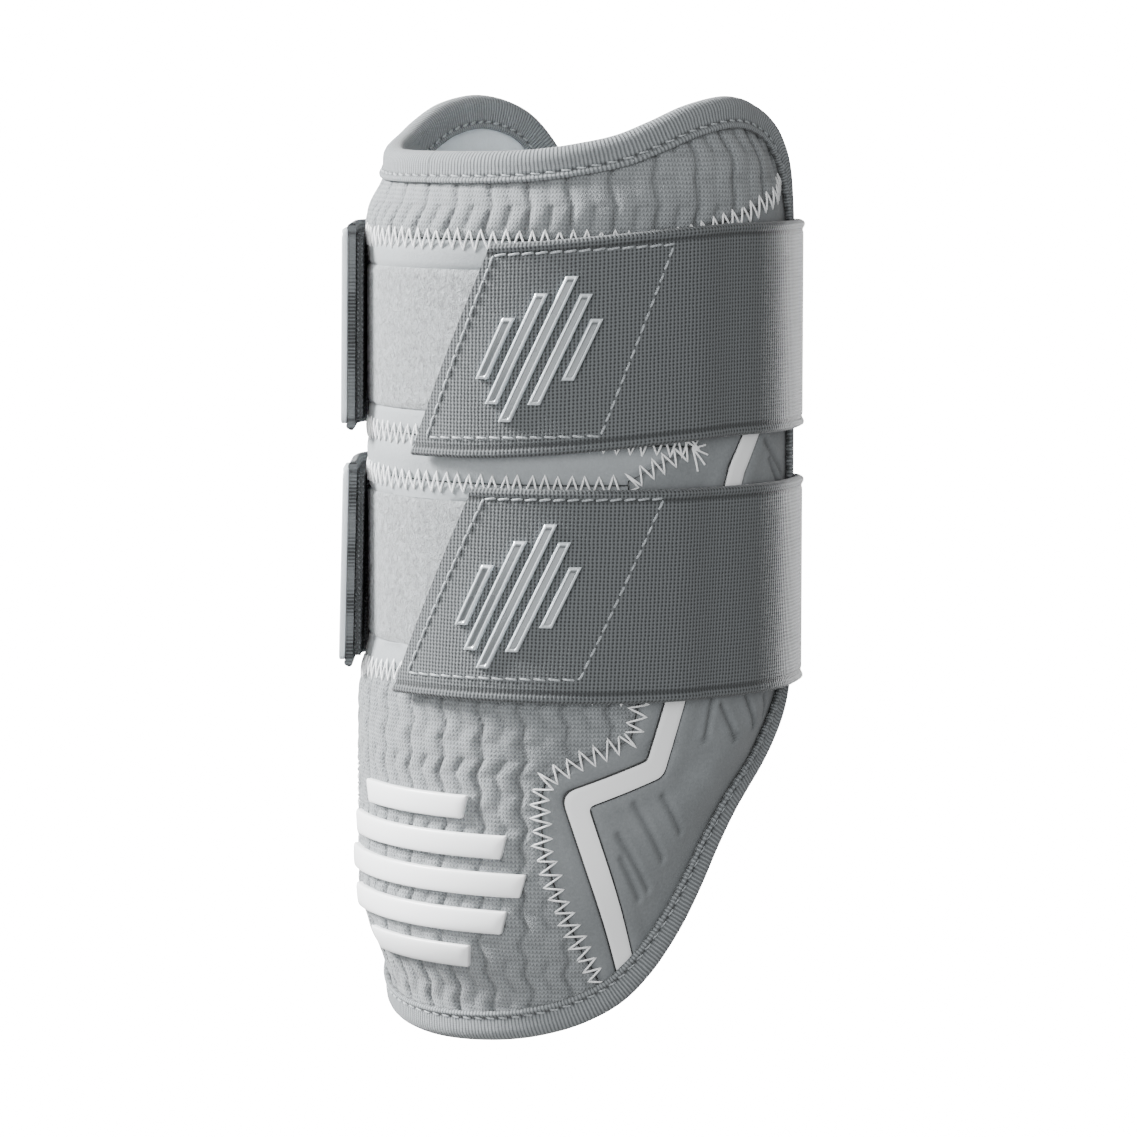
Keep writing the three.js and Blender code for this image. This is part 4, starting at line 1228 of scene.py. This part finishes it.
straps = {
    "width": 50,
    "thick": 1.8,
    "gap": 0.4,
    "hookThick": 1.3,
    "hookInset": 2.5,
    "hookLength": 43,
    "slant": 22,
    "tabAngle": -41,
    "tabReach": 14,
    "tabBend": 6,
    "bead": 0.35,
    # share of the wrap angle where the strap leaves the round for its straight runs
    "join": 0.575,
    "upper": {
        "front": 0.734, "back": 0.7556, "tab": 0.752, "end": 0.108, "headStand": 2.2, "footStand": 2.7,
    },
    "lower": {
        "front": 0.4803, "back": 0.479, "tab": 0.4946, "end": 0.07, "headStand": 2.2, "footStand": 3.5,
    },
}


def frontEnd(strap, share):
    return strap["end"] * wrap + angleOf(straps["slant"] * (share - 0.5))


def hookEnd(strap, share):
    return frontEnd(strap, share) + angleOf(straps["hookInset"] + straps["hookLength"])


def strapMiddle(strap, angle):
    share = rise(angle, strap["end"] * wrap, 0.72 * wrap)
    return blend(strap["front"], strap["back"], share) * length


def strapEdgeInside(strap, angle, share):
    height = strapMiddle(strap, angle) + straps["width"] * (share - 0.5)
    bulge = sleeve["elbowBulge"] * elbowShare(angle, height)
    lift = 1 - rise(angle, hookEnd(strap, 1), hookEnd(strap, 1) + angleOf(12))
    padded = np.where(angle > straps["tabAngle"], (straps["hookThick"] + sleeve["seat"]) * lift, 0)
    noseInside = sleeve["noseOrbit"] + sleeve["noseRadius"] + sleeve["seat"]
    onRound = sleeve["skin"] + straps["gap"] + bulge + padded
    return blend(onRound, noseInside, rise(np.abs(angle), 0.8 * wrap, noseAngle))


def strapInside(strap, angle, share):
    return blend(strapEdgeInside(strap, angle, 0.0), strapEdgeInside(strap, angle, 1.0), share)


def onTab(along, out):
    turn = math.radians(straps["tabAngle"])
    x = along * math.cos(turn) + out * math.sin(turn)
    z = axisHeight - along * math.sin(turn) + out * math.cos(turn)
    return x, z


# the strap leaves the round straight, bends, and runs flat to the end of its back tab
def backTabLine(last, stand):
    leave = math.radians(-straps["join"] * wrap)
    turn = math.radians(straps["tabAngle"])
    direction = np.array([math.cos(leave), -math.sin(leave)])
    normal = np.array([math.sin(turn), math.cos(turn)])
    out = sleeve["skin"] + stand
    offset = last - np.array([0, axisHeight])
    run = (out - offset.dot(normal)) / direction.dot(normal)
    corner = last + direction * run
    along = corner[0] * math.cos(turn) - (corner[1] - axisHeight) * math.sin(turn)
    start = corner - direction * straps["tabBend"]
    end = np.array(onTab(along + straps["tabBend"], out))
    line = [blend(last, start, step / 5) for step in range(1, 5)]
    line += [roundCorner(start, corner, end, step / 8) for step in range(9)]
    finish = np.array(onTab(straps["tabReach"], out))
    line += [blend(end, finish, step / 24) for step in range(1, 25)]
    return line


# the inside line of a strap at a share from its foot to its head edge
def strapLine(strap, share):
    shift = straps["width"] * (share - 0.5)
    join = straps["join"] * wrap
    front = np.concatenate([
        np.linspace(frontEnd(strap, share), join, 64, endpoint=False),
        np.linspace(join, noseAngle, 40, endpoint=False),
    ])
    x, _, z = np.moveaxis(place(front, 0 * front, strapInside(strap, front, share)), -1, 0)
    heights = list(strapMiddle(strap, front) + shift)
    points = list(np.stack([x, z], axis=1))
    nose = place(noseAngle, 0.0, sleeve["noseOrbit"])
    reach = sleeve["noseRadius"] + sleeve["seat"]
    back = strap["back"] * length + shift
    tab = strap["tab"] * length + shift
    turns = np.radians(np.linspace(noseAngle, 180, 10))
    for turn in turns:
        points.append(np.array([nose[0] + reach * math.sin(turn), nose[2] + reach * math.cos(turn)]))
        heights.append(back)
    first = points[-1]
    last = np.array([-nose[0] - reach * math.sin(turns[-1]), first[1]])
    for step in range(1, 50):
        points.append(blend(first, last, step / 50))
        heights.append(back)
    for turn in turns[::-1]:
        points.append(np.array([-nose[0] - reach * math.sin(turn), nose[2] + reach * math.cos(turn)]))
        heights.append(back)
    rear = np.linspace(-noseAngle, -join, 41)[1:]
    x, _, z = np.moveaxis(place(rear, 0 * rear, strapInside(strap, rear, share)), -1, 0)
    points += list(np.stack([x, z], axis=1))
    heights += list(blend(tab, back, rise(np.abs(rear) / wrap, 0.56, 0.78)))
    stand = blend(strap["footStand"], strap["headStand"], share)
    flat = backTabLine(points[-1], stand)
    points += flat
    heights += [tab] * len(flat)
    return np.array(points), np.array(heights)


def addStrap(which):
    strap = straps[which]
    lines = []
    heights = []
    edges = np.concatenate([
        np.linspace(0, 0.07, 9),
        np.linspace(0.07, 0.93, 39)[1:-1],
        np.linspace(0.93, 1, 9),
    ])
    for share in edges:
        points, height = strapLine(strap, float(share))
        lines.append(points)
        heights.append(height)
    inner = np.array(lines).transpose(1, 0, 2)
    height = np.array(heights).T
    step = np.gradient(inner, axis=0)
    step = step / np.linalg.norm(step, axis=2)[..., None]
    normal = np.stack([-step[..., 1], step[..., 0]], axis=-1)
    fromEdge = np.minimum(edges, 1 - edges)[None, :] * straps["width"]
    bead = straps["bead"] * hump(fromEdge - 1.1, 0.8) - 0.22 * hump(fromEdge - 2.5, 0.45)
    near = 1 - np.clip(fromEdge / 0.9, 0, 1)
    curl = 0.75 * (1 - np.sqrt(1 - near ** 2))
    outer = inner + normal * (straps["thick"] + bead - curl)[..., None]
    inner = inner + normal * (0.7 * curl)[..., None]
    # the flat runs lie on the table, so none of the strap goes below it
    level = height - middleHeight
    solid = lambda flat: np.stack([flat[..., 0], level, np.maximum(flat[..., 1], 0)], axis=-1)
    along = travelOf(inner) + straps["slant"] * (edges - 0.5)[None, :]
    across = edges[None, :] * straps["width"] + 0 * along
    cloth = np.stack([along, across], axis=-1)
    # painted shade in the groove near each edge
    paintedShadeAndBarGrey = hump(fromEdge - 2.5, 0.4) + 0 * along
    piece = clothPiece("strap" + which.capitalize(), solid(outer), solid(inner), cloth, paintedShadeAndBarGrey)
    dress(piece, "elastic", "elastic", "strap_" + which)


boxStitches = {
    "upper": [(26.9, 186.6), (70.4, 189.2), (52.6, 144.9), (7.9, 143.5)],
    "lower": [(24.3, 129.8), (67.9, 130), (47.7, 88), (3, 87.5)],
    "dash": 3.1,
    "radius": 0.3,
}


def strapSurface(strap, angle, height):
    foot = strapMiddle(strap, angle) - straps["width"] / 2
    share = (height - foot) / straps["width"]
    return strapInside(strap, angle, share) + straps["thick"]


def addBoxStitches():
    share = np.linspace(0, 1, 6)
    lift = -0.25 + 0.42 * np.sqrt(np.clip(np.sin(math.pi * share), 0, 1))
    runs = []
    for which in ("upper", "lower"):
        strap = straps[which]
        corners = boxStitches[which]
        flat = unrolledLine(corners + corners[:1])
        total = travelOf(flat)[-1]
        count = round(total / boxStitches["dash"])
        for index in range(count):
            x, y = alongLine(flat, (index + 0.1 + 0.76 * share) / count * total).T
            angle = angleOf(x)
            height = y + 0.3 * (share - 0.5)
            runs.append(place(angle, height, strapSurface(strap, angle, height) + lift))
    thread = threadPiece("boxStitches", runs, boxStitches["radius"])
    dress(thread, "greyThread", "binding")


def addFrontHooks():
    for which in ("upper", "lower"):
        strap = straps[which]
        u, v = shares(40, 40)
        margin = straps["hookInset"] / straps["width"]
        share = blend(margin, 1 - margin, v)
        angle = blend(frontEnd(strap, share) + angleOf(straps["hookInset"]), hookEnd(strap, share), u)
        height = strapMiddle(strap, angle) + straps["width"] * (share - 0.5)
        top = strapInside(strap, angle, share) - 0.05
        outside = place(angle, height, top)
        inside = place(angle, height, top - straps["hookThick"] + 0.2 * np.sin(u * 90) * np.sin(v * 100))
        piece = clothPiece("frontHook" + which.capitalize(), outside, inside, unrolled(angle, height))
        dress(piece, "hook", "hook", "hook_pad_front_" + which)


# slanted raised bars on the front tabs: a bright rim round a sunk grey middle

tabBars = {
    "wide": 2.7,
    "pitch": 4.8,
    "thick": 1.1,
    "tallest": 34,
    "rim": 0.55,
    "middle": 21.85,
    "sunk": 0.4,
    "shares": [0.42, 0.76, 1, 0.76, 0.42],
}


def addTabBars():
    for which in ("upper", "lower"):
        strap = straps[which]
        centre = strap["end"] * wrap + angleOf(tabBars["middle"])
        for index, share in enumerate(tabBars["shares"]):
            tall = tabBars["tallest"] * share
            u, v = shares(14, round(tall / 0.5))
            middle = strapMiddle(strap, centre)
            height = middle + tall * (v - 0.5)
            slant = straps["slant"] / straps["width"] * tall * (v - 0.5)
            arc = (index - 2) * tabBars["pitch"] + tabBars["wide"] * (u - 0.5) + slant
            angle = centre + angleOf(arc)
            edge = np.minimum(np.minimum(u, 1 - u) * tabBars["wide"], np.minimum(v, 1 - v) * tall)
            sunk = rise(edge, tabBars["rim"], tabBars["rim"] + 0.25)
            top = strapSurface(strap, angle, height)
            lift = 0.25 + tabBars["thick"] - tabBars["sunk"] * sunk - 0.35 * (1 - rise(edge, 0, 0.3))
            outside = place(angle, height, top + lift)
            inside = place(angle, height, top - 0.15)
            cloth = np.stack([arc, height], axis=-1)
            piece = clothPiece(f"tabBar{which.capitalize()}{index + 1}", outside, inside, cloth, sunk)
            dress(piece, "bar", "tab_bar", f"tab_bar_{which}_{index + 1}")


# moulded plate and hook pad at the end of the back tabs

backTabs = {
    "start": -4,
    "plate": {"short": 0, "low": 1.85, "thick": 1.6, "inset": 1.5, "corner": 2.6, "edge": 0.45},
    "hook": {"short": 1, "low": -1.9, "thick": 1.8, "inset": 2.5, "corner": 1.5, "edge": 0.25},
}


# a slab with rounded corners and edges, laid on the flat end of a strap
def tabSlab(name, strap, slab):
    deselect()
    start = backTabs["start"]
    end = straps["tabReach"] - slab["short"]
    thick = slab["thick"]
    wide = end - start
    tall = straps["width"] - 2 * slab["inset"]
    bpy.ops.mesh.primitive_cube_add(size=1, scale=(wide / 1000, tall / 1000, thick / 1000))
    piece = bpy.context.object
    piece.name = name
    bpy.ops.object.transform_apply(location=False, rotation=False, scale=True)
    mesh = piece.data
    for picked, width, parts in (("upright", slab["corner"], 6), ("rest", slab["edge"], 3)):
        bpy.ops.object.mode_set(mode="EDIT")
        bpy.ops.mesh.select_mode(type="EDGE")
        bpy.ops.mesh.select_all(action="DESELECT")
        bpy.ops.object.mode_set(mode="OBJECT")
        for line in mesh.edges:
            one, two = (mesh.vertices[index].co for index in line.vertices)
            upright = abs(one.z - two.z) > thick / 2000
            flat = abs(one.z - two.z) < 1e-7 and abs(abs(one.z) - thick / 2000) < 1e-6
            line.select = upright if picked == "upright" else flat
        bpy.ops.object.mode_set(mode="EDIT")
        bpy.ops.mesh.bevel(offset=width / 1000, segments=parts, affect="EDGES")
        bpy.ops.object.mode_set(mode="OBJECT")
    flat = cornersOf(mesh) * 1000
    along = flat[:, 0] + (start + end) / 2
    share = flat[:, 1] / straps["width"] + 0.5
    stand = blend(strap["footStand"], strap["headStand"], share)
    out = sleeve["skin"] + stand + slab["low"] + thick / 2 + flat[:, 2]
    x, z = onTab(along, out)
    y = strap["tab"] * length + flat[:, 1] - middleHeight
    mesh.vertices.foreach_set("co", (np.stack([x, y, z], axis=1) / 1000).ravel())
    setCloth(mesh, np.stack([along + out, flat[:, 1]], axis=1))
    mesh.update()
    tidyMesh(piece, angle=40)
    return piece


def addBackTabs():
    for which in ("upper", "lower"):
        strap = straps[which]
        plate = tabSlab("backPlate" + which.capitalize(), strap, backTabs["plate"])
        dress(plate, "plate", "tab_plate", "tab_plate_" + which)
        pad = tabSlab("backHook" + which.capitalize(), strap, backTabs["hook"])
        dress(pad, "hook", "hook", "hook_pad_back_" + which)


addMiddlePanels()
addUpperKnit()
print("middle panels and knit made")
addWings()
print("wings and stripes made")
addLoopPatches()
addInnerLayers()
print("loop patches, lining and foam made")
addBinding()
addBindingStitches()
print("binding made")
addZigzags()
addFrontBars()
print("seam thread and raised bars made")
for which in ("upper", "lower"):
    addStrap(which)
addFrontHooks()
addBoxStitches()
addTabBars()
addBackTabs()
print("straps and tabs made")


# floor, lights and background

stage = {
    "floor": 8,
    "glow": 16,
    "world": 0.49,
    "tableLit": ["strapUpper", "strapLower"],
    # turn is the angle from the spine that a light comes from, up is along the arm, metres
    "lights": {
        "keyLight": {"turn": -49, "up": 0.75, "reach": 1.2, "power": 114, "size": 0.45},
        "fillLight": {"turn": 30, "up": 0.25, "reach": 1.3, "power": 17, "size": 1.1},
        "tableLight": {"turn": 191, "up": 0.0, "reach": 1.0, "power": 30, "size": 0.25},
    },
}


# a pale table that glows: it lets the light under it through and gives the cloth no light itself
def addFloor():
    deselect()
    bpy.ops.mesh.primitive_plane_add(size=stage["floor"])
    floor = bpy.context.object
    floor.name = "studioFloor"
    fixed = {"Roughness": 0.9, "Specular IOR Level": 0.1}
    fixed["Emission Color"] = (1, 1, 1, 1)
    fixed["Emission Strength"] = stage["glow"]
    finish = Finish("paleFloor", **fixed)
    cloud = finish.noise(finish.onPiece(), 3.0, 2.0)
    finish.paint(finish.mix(cloud, (0.93, 0.93, 0.93, 1), (0.95, 0.95, 0.95, 1)))
    floor.data.materials.append(finish.material)
    floor.visible_diffuse = False
    floor.visible_glossy = False
    floor.visible_shadow = False


def addLights():
    world = bpy.data.worlds.new("studioWorld")
    bpy.context.scene.world = world
    world.use_nodes = True
    background = world.node_tree.nodes["Background"]
    background.inputs["Color"].default_value = (1, 1, 1, 1)
    background.inputs["Strength"].default_value = stage["world"]
    middle = Vector((0, 0, axisHeight / 1000))
    for name, lamp in stage["lights"].items():
        turn = math.radians(lamp["turn"])
        spot = Vector((math.sin(turn), 0, math.cos(turn))) * lamp["reach"] + Vector((0, lamp["up"], 0))
        data = bpy.data.lights.new(name, "AREA")
        data.energy = lamp["power"]
        data.size = lamp["size"]
        light = bpy.data.objects.new(name, data)
        bpy.context.collection.objects.link(light)
        light.location = middle + spot
        if name == "tableLight":
            # it only brightens the far edge of what wraps the arm, not the hollow
            lit = bpy.data.collections.new("tableLit")
            for piece in stage["tableLit"]:
                lit.objects.link(bpy.data.objects[piece])
            light.light_linking.receiver_collection = lit
        light.rotation_euler = (-spot).to_track_quat("-Z", "Y").to_euler()


addFloor()
addLights()
print("stage set")
